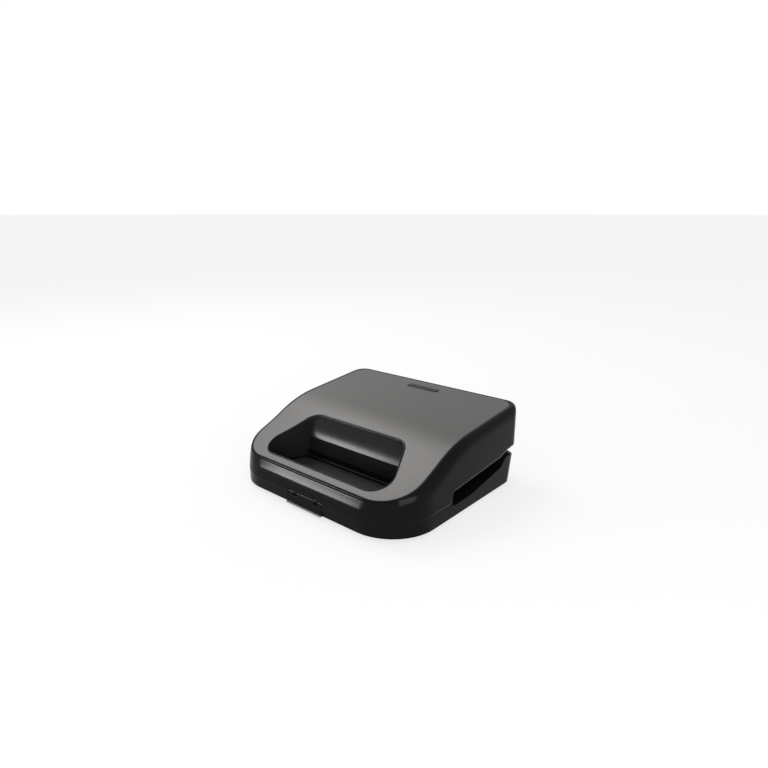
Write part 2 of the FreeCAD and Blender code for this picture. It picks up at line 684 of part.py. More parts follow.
def make_base_shell():
    top = under_base_top("base_top", 0)
    outer = common("base_outer", base_body("base_outside", size.foot_height), top)
    room_top = under_base_top("base_room_top", size.wall)
    room = common("base_room", base_body("base_inside", size.foot_height - bite, size.wall), room_top)
    walls = cut("base_walls", outer, room)
    lip_low = plate_back - size.lip_thickness
    collar = box("base_collar", (-collar_half, collar_half), (well_y, collar_rear), (lip_low, collar_edge))
    cheek = collar_half + size.lid_room_side
    clear_rear = collar_rear + size.lid_room_rear
    bridge_box = box("base_bridge_box", (-cheek - size.wall, cheek + size.wall),
                     (gap_rear - 4 * size.wall, clear_rear + size.wall),
                     (lip_low - size.wall, size.hinge_height))
    bridge = common("base_bridge", bridge_box, top)
    housings = catch_housings("base_housing", parting_low - bite, collar_edge, well_y + bite, False)
    pad = box("deck_pad", (-deck_pad_half, deck_pad_half),
              (opening_front + size.deck_pad_inset, well_y + bite),
              (parting_low - bite, parting_low + size.deck_pad_height))
    back_half = recess_half + size.wall
    latch_box = box("latch_block_box", (-back_half, back_half), (front - bite, recess_back + size.wall),
                    (size.foot_height, parting_low))
    latch_block = common("latch_block", base_body("latch_block_walls", size.foot_height), latch_box)
    bosses = [
        common(f"base_boss_{i}", top, cylinder(f"base_boss_rod_{i}", "z", size.boss_radius, place,
                                               (cover_top + size.fit / 2, size.hinge_height)))
        for i, place in enumerate(base_screw_places)
    ]
    ears = []
    for way, word in ((-1, "left"), (1, "right")):
        for j, turn in enumerate((-1, 1)):
            near = size.knuckle_width / 2 + size.ear_gap
            offsets = (near, near + size.ear_width) if turn > 0 else (-near - size.ear_width, -near)
            x = tuple(way * hinge_x + offset for offset in offsets)
            ears.append(cylinder(f"ear_{word}_{j}", "x", size.ear_radius, (hinge_y, size.hinge_height), x))
            web_y = (hinge_y - size.ear_radius, hinge_y + size.ear_web_reach)
            web_z = (size.base_rear_height - size.wall, size.hinge_height)
            ears.append(box(f"ear_web_{word}_{j}", x, web_y, web_z))
    body = fuse("base_solid", walls, collar, bridge, *housings, pad, latch_block, *bosses, *ears)

    tools = [
        plate_rectangle("plate_room", size.plate_clearance, (plate_back, ceiling)),
        plate_rectangle("plate_opening", -size.lip_width, (0, ceiling)),
        box("lid_room", (-cheek, cheek), (well_y - bite, clear_rear), (collar_edge, ceiling)),
        box("latch_recess_room", (-recess_half, recess_half), (front - beyond, recess_back), (0, ceiling)),
        box("latch_hook_room", (-recess_half, recess_half), (front - beyond, recess_back + size.wall + bite),
            (0, size.latch_ledge_height)),
        cylinder("gland_hole", "y", size.gland_radius, (gland_x, size.gland_height),
                 (clear_rear + size.wall, rear)),
        *catch_cuts("base", False),
    ]
    for way, word in ((-1, "left"), (1, "right")):
        reach = size.knuckle_width / 2 + size.ear_gap + size.ear_width + bite
        tools.append(cylinder(f"ear_bore_{word}", "x", size.hinge_pin_radius + size.press_fit,
                              (hinge_y, size.hinge_height), (way * hinge_x - reach, way * hinge_x + reach)))
    for i, place in enumerate(base_screw_places):
        tools.append(screw_bore(f"base_screw_bore_{i}", place, 0, cover_top + size.screw_length))
    node(cut("base_shell", body, *tools), "base_shell")


def post_places(inset):
    """Four posts near a plate's corners, at an inset from its sides."""
    x = plate_half - inset
    y = plate_rear - plate_middle - size.post_end
    return [(way_x * x, plate_middle + way_y * y) for way_x, way_y in ((-1, -1), (1, -1), (-1, 1), (1, 1))]


def make_base_cover():
    sheet_room = base_body("cover_walls", size.foot_height - bite, size.wall + size.fit)
    slab = box("cover_slab", (-side, side), (front, rear), (size.foot_height, cover_top))
    posts = [
        cylinder(f"shield_post_{i}", "z", size.post_radius, place,
                 (size.foot_height, shield_top - size.shield_thickness))
        for i, place in enumerate(post_places(size.shield_post_inset))
    ]
    body = fuse("cover_solid", common("cover_plate", slab, sheet_room), *posts)
    half = recess_half + size.wall + size.fit
    notch_back = recess_back + size.wall + bite + size.fit
    tools = [box("cover_notch", (-half, half), (front, notch_back), (0, ceiling))]
    for i, place in enumerate(base_screw_places):
        tools.append(screw_bore(f"cover_bore_{i}", place, 0, ceiling))
        tools.append(cylinder(f"cover_sink_{i}", "z", size.screw_head_radius + size.fit, place,
                              (0, size.foot_height + size.screw_head_height)))
    node(cut("base_cover", body, *tools), "base_cover")


def make_feet():
    places = {
        "front_left": (-1, front + size.foot_inset_y),
        "front_right": (1, front + size.foot_inset_y),
        "rear_left": (-1, rear - size.base_tuck_low - size.foot_inset_y),
        "rear_right": (1, rear - size.base_tuck_low - size.foot_inset_y),
    }
    for word, (way, y) in places.items():
        foot = cylinder(f"foot_{word}", "z", size.foot_radius, (way * (side - size.foot_inset_x), y),
                        (0, size.foot_height))
        node(foot, f"foot_{word}")


def make_screws(name, places, head_low):
    """Screws driven up from below, with their heads from a height upward."""
    for i, place in enumerate(places, start=name[1]):
        shank_low = head_low + size.screw_head_height
        head = cylinder(f"{name[0]}_head_{i}", "z", size.screw_head_radius, place, (head_low, shank_low))
        shank = cylinder(f"{name[0]}_shank_{i}", "z", size.screw_radius, place,
                         (head_low, shank_low + size.screw_length))
        node(fuse(f"{name[0]}_{i}", head, shank), f"{name[0]}_{i}")


def make_plate(word, upper):
    """One removable plate: four triangle pockets, two rear tabs and two front bumps."""
    slab_corners = [
        (-plate_half, plate_front, size.plate_corner),
        (plate_half, plate_front, size.plate_corner),
        (plate_half, plate_rear, size.plate_corner),
        (-plate_half, plate_rear, size.plate_corner),
    ]
    low, high = span(plate_back, plate_face, upper)
    slab = extrude(f"{word}_slab", outline(f"{word}_slab_sketch", slab_corners, height=low), high - low)
    additions = []
    tab_top = plate_face - size.tab_drop
    for i, way in enumerate((-1, 1)):
        middle = way * tab_x
        additions.append(box(f"{word}_tab_{i}", (middle - size.tab_width / 2, middle + size.tab_width / 2),
                             (plate_rear - bite, plate_rear + size.tab_length),
                             span(tab_top - size.tab_thickness, tab_top, upper)))
        bump = cylinder(f"{word}_bump_{i}", "z", size.bump_radius,
                        (way * catch_x, plate_front - size.bump_length + size.bump_radius),
                        span(bump_top - size.bump_thickness, bump_top, upper))
        additions.append(bump)
    body = fuse(f"{word}_solid", slab, *additions)

    near = size.ridge_width / 2
    far = plate_half - size.pocket_rim
    low_y = plate_front + size.pocket_rim
    high_y = plate_rear - size.pocket_rim
    pockets = []
    for i, way in enumerate((-1, 1)):
        triangles = {
            "inner": [(near, low_y), (far - size.ridge_lead, low_y), (near, high_y - size.ridge_lead)],
            "outer": [(far, high_y), (near + size.ridge_lead, high_y), (far, low_y + size.ridge_lead)],
        }
        for place, triangle in triangles.items():
            corners = [(way * x, y, size.pocket_corner) for x, y in triangle]
            if way < 0:
                corners.reverse()
            sketch = outline(f"{word}_{place}_{i}_sketch", corners, height=flip(plate_face, upper))
            pockets.append(extrude(f"{word}_{place}_{i}", sketch, size.pocket_depth, reverse=not upper,
                                   taper=-size.pocket_draft))
    node(cut(f"{word}_plate", body, *pockets), f"{word}_plate")


def make_heating(word, upper):
    """A bent heating rod on the back of a plate, its heat shield and the clips between them."""
    runs = [plate_middle - size.rod_bend, plate_middle + size.rod_bend]
    z = flip(rod_z, upper)
    rods = [
        cylinder(f"{word}_run_{i}", "x", size.rod_radius, (y, z), (-rod_run + size.rod_bend, rod_run))
        for i, y in enumerate(runs)
    ]
    bend = doc.addObject("Part::Torus", f"{word}_bend")
    bend.Angle3 = 180
    bend.Placement.Rotation = FreeCAD.Rotation(FreeCAD.Vector(0, 0, 1), 90)
    bind(bend, "Radius1", size.rod_bend)
    bind(bend, "Radius2", size.rod_radius)
    move(bend, size.rod_bend - rod_run, plate_middle, z)
    node(fuse(f"{word}_heater", *rods, bend), f"{word}_heater")

    inset = size.lip_width / 2 if upper else size.lip_width + bite
    shield_z = span(shield_top - size.shield_thickness, shield_top, upper)
    node(plate_rectangle(f"{word}_reflector", -inset, shield_z), f"{word}_reflector")
    for clip, x, y in (("left", -size.clip_x, runs[0]), ("right", size.clip_x, runs[1])):
        block = box(f"{word}_clip_block_{clip}", (x - size.clip_width / 2, x + size.clip_width / 2),
                    (y - size.rod_radius - size.clip_side, y + size.rod_radius + size.clip_side),
                    span(shield_top, rod_z, upper))
        bore = cylinder(f"{word}_clip_bore_{clip}", "x", size.rod_radius + size.press_fit, (y, z),
                        (x - size.clip_width, x + size.clip_width))
        node(cut(f"{word}_clip_{clip}", block, bore), f"{word}_clip_{clip}")


def make_electrics():
    place = (size.thermostat_x, plate_middle)
    node(cylinder("thermostat", "z", size.thermostat_radius, place, (shield_top, plate_back)), "thermostat")
    fuse_z = flip(plate_back, True) + size.fuse_radius
    fuse_x = (size.fuse_x, size.fuse_x + size.fuse_length)
    node(cylinder("thermal_fuse", "x", size.fuse_radius, (plate_middle, fuse_z), fuse_x), "thermal_fuse")
    high_x = side - size.wall - size.terminal_gap
    high_y = hinge_y - size.base_screw_rear - size.terminal_screw_gap
    node(box("terminal_block", (high_x - size.terminal_width, high_x),
             (high_y - size.terminal_length, high_y),
             (cover_top, cover_top + size.terminal_height)), "terminal_block")
    wall_face = rear - size.base_tuck_low
    gland_end = wall_face + size.gland_reach
    place = (gland_x, size.gland_height)
    bush = cylinder("gland_bush", "y", size.gland_radius - size.press_fit, place,
                    (wall_face - size.gland_depth, gland_end))
    rim = cylinder("gland_rim", "y", size.gland_radius + size.gland_flange, place,
                   (gland_end - size.gland_rim, gland_end))
    bore = cylinder("gland_hollow", "y", size.gland_bore, place, (wall_face, gland_end + bite))
    node(cut("cord_gland", fuse("gland_solid", bush, rim), bore), "cord_gland")


def make_hinge_pins():
    reach = size.knuckle_width / 2 + size.ear_gap + size.ear_width
    for way, word in ((-1, "left"), (1, "right")):
        middle = way * hinge_x
        pin = cylinder(f"hinge_pin_{word}", "x", size.hinge_pin_radius, (hinge_y, size.hinge_height),
                       (middle - reach, middle + reach))
        node(pin, f"hinge_pin_{word}")


def make_catch(name, way, upper):
    """A catch that slides forward to free a plate: a nose over the bump and a thumb pad."""
    middle = way * catch_x
    half = size.catch_width / 2
    pad_half = half - size.catch_rail
    nose = catch_front + size.catch_length
    slider = box(f"{name}_slider", (middle - half, middle + half), (catch_front, nose),
                 span(catch_low, catch_high, upper))
    pad = box(f"{name}_pad", (middle - pad_half, middle + pad_half),
              (catch_front, catch_front + size.catch_pad),
              span(catch_high, size.cook_height - size.fit, upper))
    node(fuse(name, slider, pad), name)


def make_lid_shell(skin_layer):
    edge = [
        (front - beyond, parting_high),
        (gap_front - size.lid_step_lead, parting_high),
        (gap_front - size.lid_step_lead + size.lid_step_run, size.lid_edge_front),
        (gap_rear - size.lid_gap_lead, size.lid_edge_rear),
        (hinge_y - size.lid_rise_run, lid_rear_edge - size.lid_rise_drop),
        (hinge_y - size.lid_level_run, lid_rear_edge),
        (rear + beyond, lid_rear_edge),
    ]
    outer = common("lid_outer", lid_body("lid_outside"), under_top("lid_top", 0, edge))
    room_top = under_top("lid_room_top", size.skin_thickness + size.wall)
    room = common("lid_room_solid", lid_body("lid_inside", size.wall), room_top)
    walls = cut("lid_walls", outer, room)
    solid_top = under_top("lid_boss_top", size.skin_thickness + bite)
    inside = lid_body("lid_boss_walls", bite)
    bosses = []
    for i, place in enumerate(frame_screw_places):
        z = (frame_top + size.fit / 2, ceiling)
        bosses.append(cylinder(f"frame_boss_{i}", "z", size.boss_radius, place, z))
    cover_top_z = parting_high + size.handle_cover_lift + size.cover_thickness
    for i, place in enumerate(handle_screw_places):
        z = (cover_top_z + size.fit / 2, ceiling)
        bosses.append(cylinder(f"handle_boss_{i}", "z", size.boss_radius, place, z))
    for i, way in enumerate((-1, 1)):
        place = (way * (size.lens_length / 2 - size.board_post_inset), rear - size.lens_inset)
        bosses.append(cylinder(f"board_post_{i}", "z", size.post_radius, place, (board_top, ceiling)))
    posts = common("lid_posts", fuse("lid_post_rods", *bosses), solid_top, inside)
    knuckles = []
    for way, word in ((-1, "left"), (1, "right")):
        middle = way * hinge_x
        x = (middle - size.knuckle_width / 2, middle + size.knuckle_width / 2)
        knuckles.append(cylinder(f"knuckle_{word}", "x", size.ear_radius, (hinge_y, size.hinge_height), x))
        knuckles.append(box(f"knuckle_web_{word}", x, (hinge_y - bite, hinge_y + size.ear_radius),
                            (size.hinge_height, lid_rear_edge + size.knuckle_web)))
    lugs = []
    for i, way in enumerate((-1, 1)):
        middle = way * size.lug_x
        x = (middle - size.lug_width / 2, middle + size.lug_width / 2)
        lugs.append(cylinder(f"lug_round_{i}", "x", size.latch_barrel, (latch_y, latch_z), x))
        lugs.append(box(f"lug_block_{i}", x, (latch_y - size.latch_barrel, latch_y + size.latch_barrel),
                        (latch_z, parting_high + size.handle_cover_lift - size.fit)))
    body = fuse("lid_solid", walls, posts, *knuckles, *lugs)

    tools = [
        skin_layer,
        opening_prism("lid_opening", size.grip_wall + size.fit / 2, 0),
        lens_prism("lid_lens_hole", size.fit),
    ]
    for way, word in ((-1, "left"), (1, "right")):
        middle = way * hinge_x
        tools.append(cylinder(f"knuckle_bore_{word}", "x", size.hinge_pin_radius + size.running_fit,
                              (hinge_y, size.hinge_height),
                              (middle - size.knuckle_width, middle + size.knuckle_width)))
    tools.append(cylinder("lug_bore", "x", size.latch_pin_radius + size.press_fit, (latch_y, latch_z),
                          (-size.latch_width / 2, size.latch_width / 2)))
    for i, place in enumerate(frame_screw_places):
        screw_top = size.frame_height + size.screw_length
        tools.append(screw_bore(f"frame_boss_bore_{i}", place, frame_top, screw_top))
    for i, place in enumerate(handle_screw_places):
        tools.append(screw_bore(f"handle_boss_bore_{i}", place, 0, cover_top_z + size.screw_length))
    node(cut("lid_shell", body, *tools), "lid_shell")


def skin_prism(name, grow):
    half_width = side - size.skin_inset_side + grow
    low_y = front + size.skin_inset_front - grow
    high_y = rear - size.skin_inset_rear + grow
    front_radius = size.front_corner - size.skin_front_step
    rear_radius = size.rear_corner - size.skin_corner_step
    corners = [
        (-half_width, low_y, front_radius),
        (half_width, low_y, front_radius),
        (half_width, high_y, rear_radius),
        (-half_width, high_y, rear_radius),
    ]
    sketch = outline(name + "_sketch", corners, height=parting_high)
    return extrude(name, sketch, ceiling - parting_high)


def make_lid_skin():
    sheet_top = under_top("skin_top", 0)
    sheet_under = under_top("skin_under", size.skin_thickness)
    layer = cut("skin_layer", common("skin_block", skin_prism("skin_edge", 0), sheet_top), sheet_under)
    skin = cut("lid_skin", layer, opening_prism("skin_opening", size.grip_wall + size.fit / 2, 0),
               lens_prism("skin_lens_hole", size.fit))
    node(skin, "lid_skin")
    return cut("skin_seat", skin_prism("skin_seat_edge", size.fit / 2), sheet_under)


def make_handle_grip():
    """The finger opening's liner: upright walls, a rim over the sheet and a rolled back wall."""
    low = parting_high + size.fit
    outer = common("grip_outer", opening_prism("grip_outside", size.grip_wall, low),
                   under_top("grip_top", -size.bead_height))
    roll_middle = (well_y + size.roll_radius, size.roll_foot_height)
    wide = (-side, side)
    roll_block = box("roll_block", wide, (opening_front, opening_rear), (size.roll_foot_height, ceiling))
    roll = cylinder("roll", "x", size.roll_radius, roll_middle, wide)
    roll_cut = common("roll_cut", opening_prism("roll_opening", 0, low), cut("roll_shape", roll_block, roll))
    hollow_half = opening_rear_half - size.hollow_inset
    hollow_wide = (-hollow_half, hollow_half)
    hollow_y = (well_y + size.grip_wall, opening_rear + size.grip_wall + bite)
    hollow_top = size.roll_foot_height + size.hollow_rise
    inner_roll = cylinder("hollow_roll", "x", size.roll_radius - size.grip_wall, roll_middle, hollow_wide)
    hollow_round = common("hollow_round", inner_roll,
                          box("hollow_box", hollow_wide, hollow_y, (size.roll_foot_height, hollow_top)))
    shield_room = flip(shield_top - size.shield_thickness, True) + size.shield_gap
    hollow_low = box("hollow_low", wide, hollow_y, (0, shield_room))
    base_room = box("grip_base_room", wide, (well_y - size.fit, rear), (0, size.cook_height + size.plate_gap))
    inside = opening_prism("grip_inside", 0, 0, well_y)
    node(cut("handle_grip", outer, inside, roll_cut, hollow_round, hollow_low, base_room), "handle_grip")


def make_handle_cover():
    low = parting_high + size.handle_cover_lift
    slab = box("handle_slab", (-side, side), (front, housing_front - size.handle_cover_gap),
               (low, low + size.cover_thickness))
    plate = common("handle_plate", slab, lid_body("handle_walls", size.wall + size.fit))
    tools = [opening_prism("handle_cover_opening", size.grip_wall + size.fit, 0)]
    for i, place in enumerate(handle_screw_places):
        tools.append(screw_bore(f"handle_bore_{i}", place, 0, ceiling))
        tools.append(cylinder(f"handle_sink_{i}", "z", size.screw_head_radius + size.fit, place,
                              (0, low + size.screw_head_height)))
    node(cut("handle_cover", plate, *tools), "handle_cover")


def make_lid_frame():
    """The lid's underside: a flange inside the walls and a collar round the upper plate."""
    slab = box("frame_slab", (-side, side), (opening_rear + bite, collar_rear + size.frame_rear_reach),
               (size.frame_height, frame_top))
    flange = common("frame_flange", slab, lid_body("frame_walls", size.wall + size.fit))
    low = flip(collar_edge, True)
    collar = box("frame_collar", (-collar_half, collar_half), (collar_front, collar_rear), (low, frame_top))
    housing_low = bump_top - 2 * size.fit
    housings = catch_housings("frame_housing", housing_low, collar_edge, collar_front + bite, True)
    post_z = (flip(plate_back, True), flip(shield_top, True))
    posts = [
        cylinder(f"frame_post_{i}", "z", size.post_radius, place, post_z)
        for i, place in enumerate(post_places(size.frame_post_inset))
    ]
    back = flip(plate_back, True)
    tools = [
        plate_rectangle("frame_plate_room", size.plate_clearance, (0, back)),
        *catch_cuts("frame", True),
    ]
    for i, place in enumerate(frame_screw_places):
        tools.append(screw_bore(f"frame_bore_{i}", place, 0, ceiling))
    opening = plate_rectangle("frame_opening", -size.lip_width, (0, ceiling))
    body = cut("frame_open", fuse("frame_solid", flange, collar, *housings), opening, *tools)
    node(fuse("lid_frame", body, *posts), "lid_frame")


board_top = size.top_rear_height - top_slope * size.lens_inset - size.lens_depth - size.fit - size.lamp_length


def make_lens_and_lamps():
    lens_top = under_top("lens_top", -size.lens_proud)
    lens_under = under_top("lens_under", size.lens_depth)
    node(cut("indicator_lens", common("lens_block", lens_prism("lens_prism", 0), lens_top), lens_under),
         "indicator_lens")
    middle = rear - size.lens_inset
    for way, word in ((-1, "lamp_power"), (1, "lamp_ready")):
        node(cylinder(word, "z", size.lamp_radius, (way * size.lamp_x, middle),
                      (board_top, board_top + size.lamp_length - size.fit)), word)
    half_length = size.lens_length / 2 + size.board_margin
    half_width = size.lens_width / 2 + size.board_margin
    node(box("lamp_board", (-half_length, half_length), (middle - half_width, middle + half_width),
             (board_top - size.board_thickness, board_top)), "lamp_board")


def make_latch():
    """The front clip, built latched and then swung out to its rest angle about its pin."""
    half = size.latch_width / 2
    wide = (-half, half)
    plate_y = (latch_y - size.latch_barrel, latch_y - size.latch_barrel + size.latch_plate)
    plate_solid = box("latch_plate_box", wide, plate_y, (size.latch_lip_height, latch_z))
    barrel = cylinder("latch_barrel_rod", "x", size.latch_barrel, (latch_y, latch_z), wide)
    lip = box("latch_lip_box", wide, (plate_y[0] - size.latch_lip_reach, plate_y[1]),
              (size.latch_lip_height, size.latch_lip_height + size.latch_lip_thickness))
    hook_top = size.latch_ledge_height - size.fit
    hook_half = half - size.latch_hook_inset
    hook = box("latch_hook_box", (-hook_half, hook_half), (plate_y[0], recess_back + size.latch_hook_hold),
               (hook_top - size.latch_hook_thickness, hook_top))
    axis = (latch_y, latch_z)
    tools = [cylinder("latch_bore", "x", size.latch_pin_radius + size.running_fit, axis, (-side, side))]
    for i, way in enumerate((-1, 1)):
        middle = way * size.lug_x
        room = size.lug_width / 2 + size.fit
        reach = size.latch_barrel + size.lug_room
        tools.append(box(f"latch_lug_room_{i}", (middle - room, middle + room),
                         (latch_y - reach, latch_y + reach), (latch_z - reach, latch_z + reach)))
    clip = cut("latch_clip", fuse("latch_solid", plate_solid, barrel, lip, hook), *tools)
    turn = FreeCAD.Rotation(FreeCAD.Vector(-1, 0, 0), size.latch_rest_angle.number)
    axis_point = FreeCAD.Vector(0, latch_y.number, latch_z.number)
    clip.Placement = FreeCAD.Placement(axis_point - turn.multVec(axis_point), turn)
    node(clip, "latch_clip")
    pin_half = half - size.latch_pin_inset
    node(cylinder("latch_pin", "x", size.latch_pin_radius, axis, (-pin_half, pin_half)), "latch_pin")


make_base_shell()
make_base_cover()
make_feet()
make_screws(("base_screw", 1), base_screw_places, size.foot_height)
make_plate("lower", False)
make_heating("lower", False)
make_electrics()
make_hinge_pins()
make_catch("lower_catch_left", -1, False)
make_catch("lower_catch_right", 1, False)
make_lid_shell(make_lid_skin())
make_handle_grip()
make_handle_cover()
make_lid_frame()
make_plate("upper", True)
make_heating("upper", True)
make_lens_and_lamps()
make_screws(("lid_screw", 1), frame_screw_places, size.frame_height - size.screw_head_height)
make_screws(("lid_screw", 5), handle_screw_places, parting_high + size.handle_cover_lift)
make_catch("upper_catch_left", -1, True)
make_catch("upper_catch_right", 1, True)
make_latch()
doc.recompute()

faults = [thing.Label for thing in doc.Objects if {"Invalid", "Error"} & set(thing.State)]
for piece in NODES:
    if piece.Shape.isNull() or not piece.Shape.isValid() or len(piece.Shape.Solids) != 1:
        faults.append(f"{piece.Label} shape, {len(piece.Shape.Solids)} solids")
if faults:
    raise RuntimeError("failed: " + ", ".join(faults))

os.makedirs("parts", exist_ok=True)
for piece in NODES:
    piece.Shape.exportStep(f"parts/{piece.Label}.step")
print(len(NODES), "pieces")
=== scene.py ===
"""Looks of a two-slice sandwich maker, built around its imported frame."""

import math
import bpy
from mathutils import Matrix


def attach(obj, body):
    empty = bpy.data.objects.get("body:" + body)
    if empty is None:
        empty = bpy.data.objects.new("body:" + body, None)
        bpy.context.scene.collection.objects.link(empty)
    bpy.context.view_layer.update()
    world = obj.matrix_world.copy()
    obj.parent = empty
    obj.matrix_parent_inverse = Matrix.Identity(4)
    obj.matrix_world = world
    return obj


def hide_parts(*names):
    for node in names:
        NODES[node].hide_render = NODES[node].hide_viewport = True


bl_info = {
    "name": "Sandwich maker",
    "version": (1, 0, 0),
    "blender": (4, 5, 0),
    "location": "View3D > Sidebar > Sandwich maker",
    "description": "Dresses the frame of a sandwich maker with its housing, sheet, plates and fittings",
    "category": "Object",
}

import bmesh
import bpy
import numpy as np
from bpy.props import FloatProperty, FloatVectorProperty, PointerProperty
from mathutils import Matrix

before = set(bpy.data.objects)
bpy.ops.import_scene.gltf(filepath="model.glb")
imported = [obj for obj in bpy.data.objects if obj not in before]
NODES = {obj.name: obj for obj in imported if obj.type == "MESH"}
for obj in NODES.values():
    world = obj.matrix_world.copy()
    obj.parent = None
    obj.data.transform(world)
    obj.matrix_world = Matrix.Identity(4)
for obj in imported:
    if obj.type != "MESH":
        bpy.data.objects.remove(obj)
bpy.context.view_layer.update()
MM = 0.001

# Lengths and places are in millimetres, unless they are a property, a lamp or the camera.
SIDE, FRONT, REAR = 130.0, -111.1, 113.9
FRONT_CORNER, REAR_CORNER = 54.0, 20.6
PARTING = 20.0
HOUSING_WALL, SHEET_WALL, GRIP_WALL = 2.4, 0.8, 0.8
SHARP_ANGLE = math.radians(40)
FLAT_WEIGHT = 90

SHEET_SIDE, SHEET_FRONT, SHEET_REAR = 120.4, -104.3, 110.1
SHEET_FRONT_CORNER, SHEET_REAR_CORNER = 40.0, 15.6

OPENING_FRONT, OPENING_REAR = -95.8, -27.2
OPENING_FRONT_SIDE, OPENING_REAR_SIDE = 102.0, 70.0
OPENING_CORNER = 20.0
OPENING_ASIDE = 0.6


class SandwichSizes(bpy.types.PropertyGroup):
    """Sizes of the trim, in metres."""

    shoulder_drop: FloatProperty(
        name="Shoulder drop", description="Rounded shoulder of the lid housing, downwards",
        default=0.013, unit="LENGTH")
    lip_drop: FloatProperty(
        name="Lip drop", description="Rolled lip of the lid's front, downwards",
        default=0.0003, unit="LENGTH")
    groove: FloatProperty(
        name="Groove", description="Gap between the housing's lip and the steel sheet",
        default=0.0004, unit="LENGTH")
    bead_height: FloatProperty(
        name="Bead height", description="Rim of the finger opening above the sheet",
        default=0.0009, unit="LENGTH")
    bead_width: FloatProperty(
        name="Bead width", description="Rim of the finger opening, across",
        default=0.0018, unit="LENGTH")
    edge_round: FloatProperty(
        name="Edge round", description="Softened edges of the moulded pieces",
        default=0.0005, unit="LENGTH")
    brush_pitch: FloatProperty(
        name="Brush pitch", description="Width of the brush marks on the sheet",
        default=0.0005, unit="LENGTH")


class SandwichColours(bpy.types.PropertyGroup):
    """Colours of the finishes."""

    housing: FloatVectorProperty(
        name="Housing", description="Gloss black moulded housing", subtype="COLOR", size=4,
        default=(0.0045, 0.0045, 0.0048, 1))
    matt_housing: FloatVectorProperty(
        name="Matt housing", description="Satin grip and grained mouldings of the underside",
        subtype="COLOR", size=4, default=(0.012, 0.012, 0.0125, 1))
    deck: FloatVectorProperty(
        name="Deck", description="Grained deck in the finger opening", subtype="COLOR", size=4,
        default=(0.026, 0.026, 0.026, 1))
    sheet: FloatVectorProperty(
        name="Steel sheet", description="Dark brushed steel over the lid", subtype="COLOR", size=4,
        default=(0.097, 0.0948, 0.0918, 1))
    coating: FloatVectorProperty(
        name="Plate coating", description="Non-stick coating of the plates", subtype="COLOR", size=4,
        default=(0.018, 0.018, 0.0185, 1))
    steel: FloatVectorProperty(
        name="Plain steel", description="Pins, screws, rods and shields", subtype="COLOR", size=4,
        default=(0.55, 0.54, 0.52, 1))
    # This grey is also a painted highlight on the clip's lower lip, standing in for the light it catches from
    # the table. The plate catches are this grey.
    clip: FloatVectorProperty(
        name="Clip", description="Lip of the front clip, and the plate catches", subtype="COLOR", size=4,
        default=(0.09, 0.09, 0.09, 1))
    rubber: FloatVectorProperty(
        name="Rubber", description="Feet and cord gland", subtype="COLOR", size=4,
        default=(0.02, 0.02, 0.02, 1))
    lens: FloatVectorProperty(
        name="Lens", description="Smoked indicator lens", subtype="COLOR", size=4,
        default=(0.022, 0.0225, 0.023, 1))
    ceramic: FloatVectorProperty(
        name="Ceramic", description="Terminal block, thermostat and fuse", subtype="COLOR", size=4,
        default=(0.7, 0.66, 0.58, 1))
    board: FloatVectorProperty(
        name="Board", description="Lamp board", subtype="COLOR", size=4, default=(0.05, 0.16, 0.06, 1))
    floor: FloatVectorProperty(
        name="Floor", description="Pale floor", subtype="COLOR", size=4, default=(0.9, 0.9, 0.9, 1))


def sizes():
    """The trim sizes in millimetres, by name."""
    group = bpy.context.scene.sandwich_sizes
    return {key: getattr(group, key) / MM for key in SandwichSizes.__annotations__}


def colour(name):
    """A finish's colour, as red, green, blue and alpha."""
    return tuple(getattr(bpy.context.scene.sandwich_colours, name))


class Wire:
    """A shader socket that takes part in sums and products: each operator adds a Math node."""

    def __init__(self, finish, socket):
        self.finish = finish
        self.socket = socket

    def math(self, operation, other):
        """A Math node that works on this socket and another value."""
        return self.finish.node("ShaderNodeMath", {"operation": operation}, {0: self, 1: other})

    def __add__(self, other):
        return self.math("ADD", other)

    __radd__ = __add__

    def __mul__(self, other):
        return self.math("MULTIPLY", other)

    __rmul__ = __mul__

    def above(self, edge, soft):
        """0 below an edge and 1 above it, turning over a soft width."""
        settings = {"interpolation_type": "SMOOTHSTEP"}
        inputs = {"Value": self, "From Min": edge - soft, "From Max": edge + soft}
        return self.finish.node("ShaderNodeMapRange", settings, inputs, "Result")


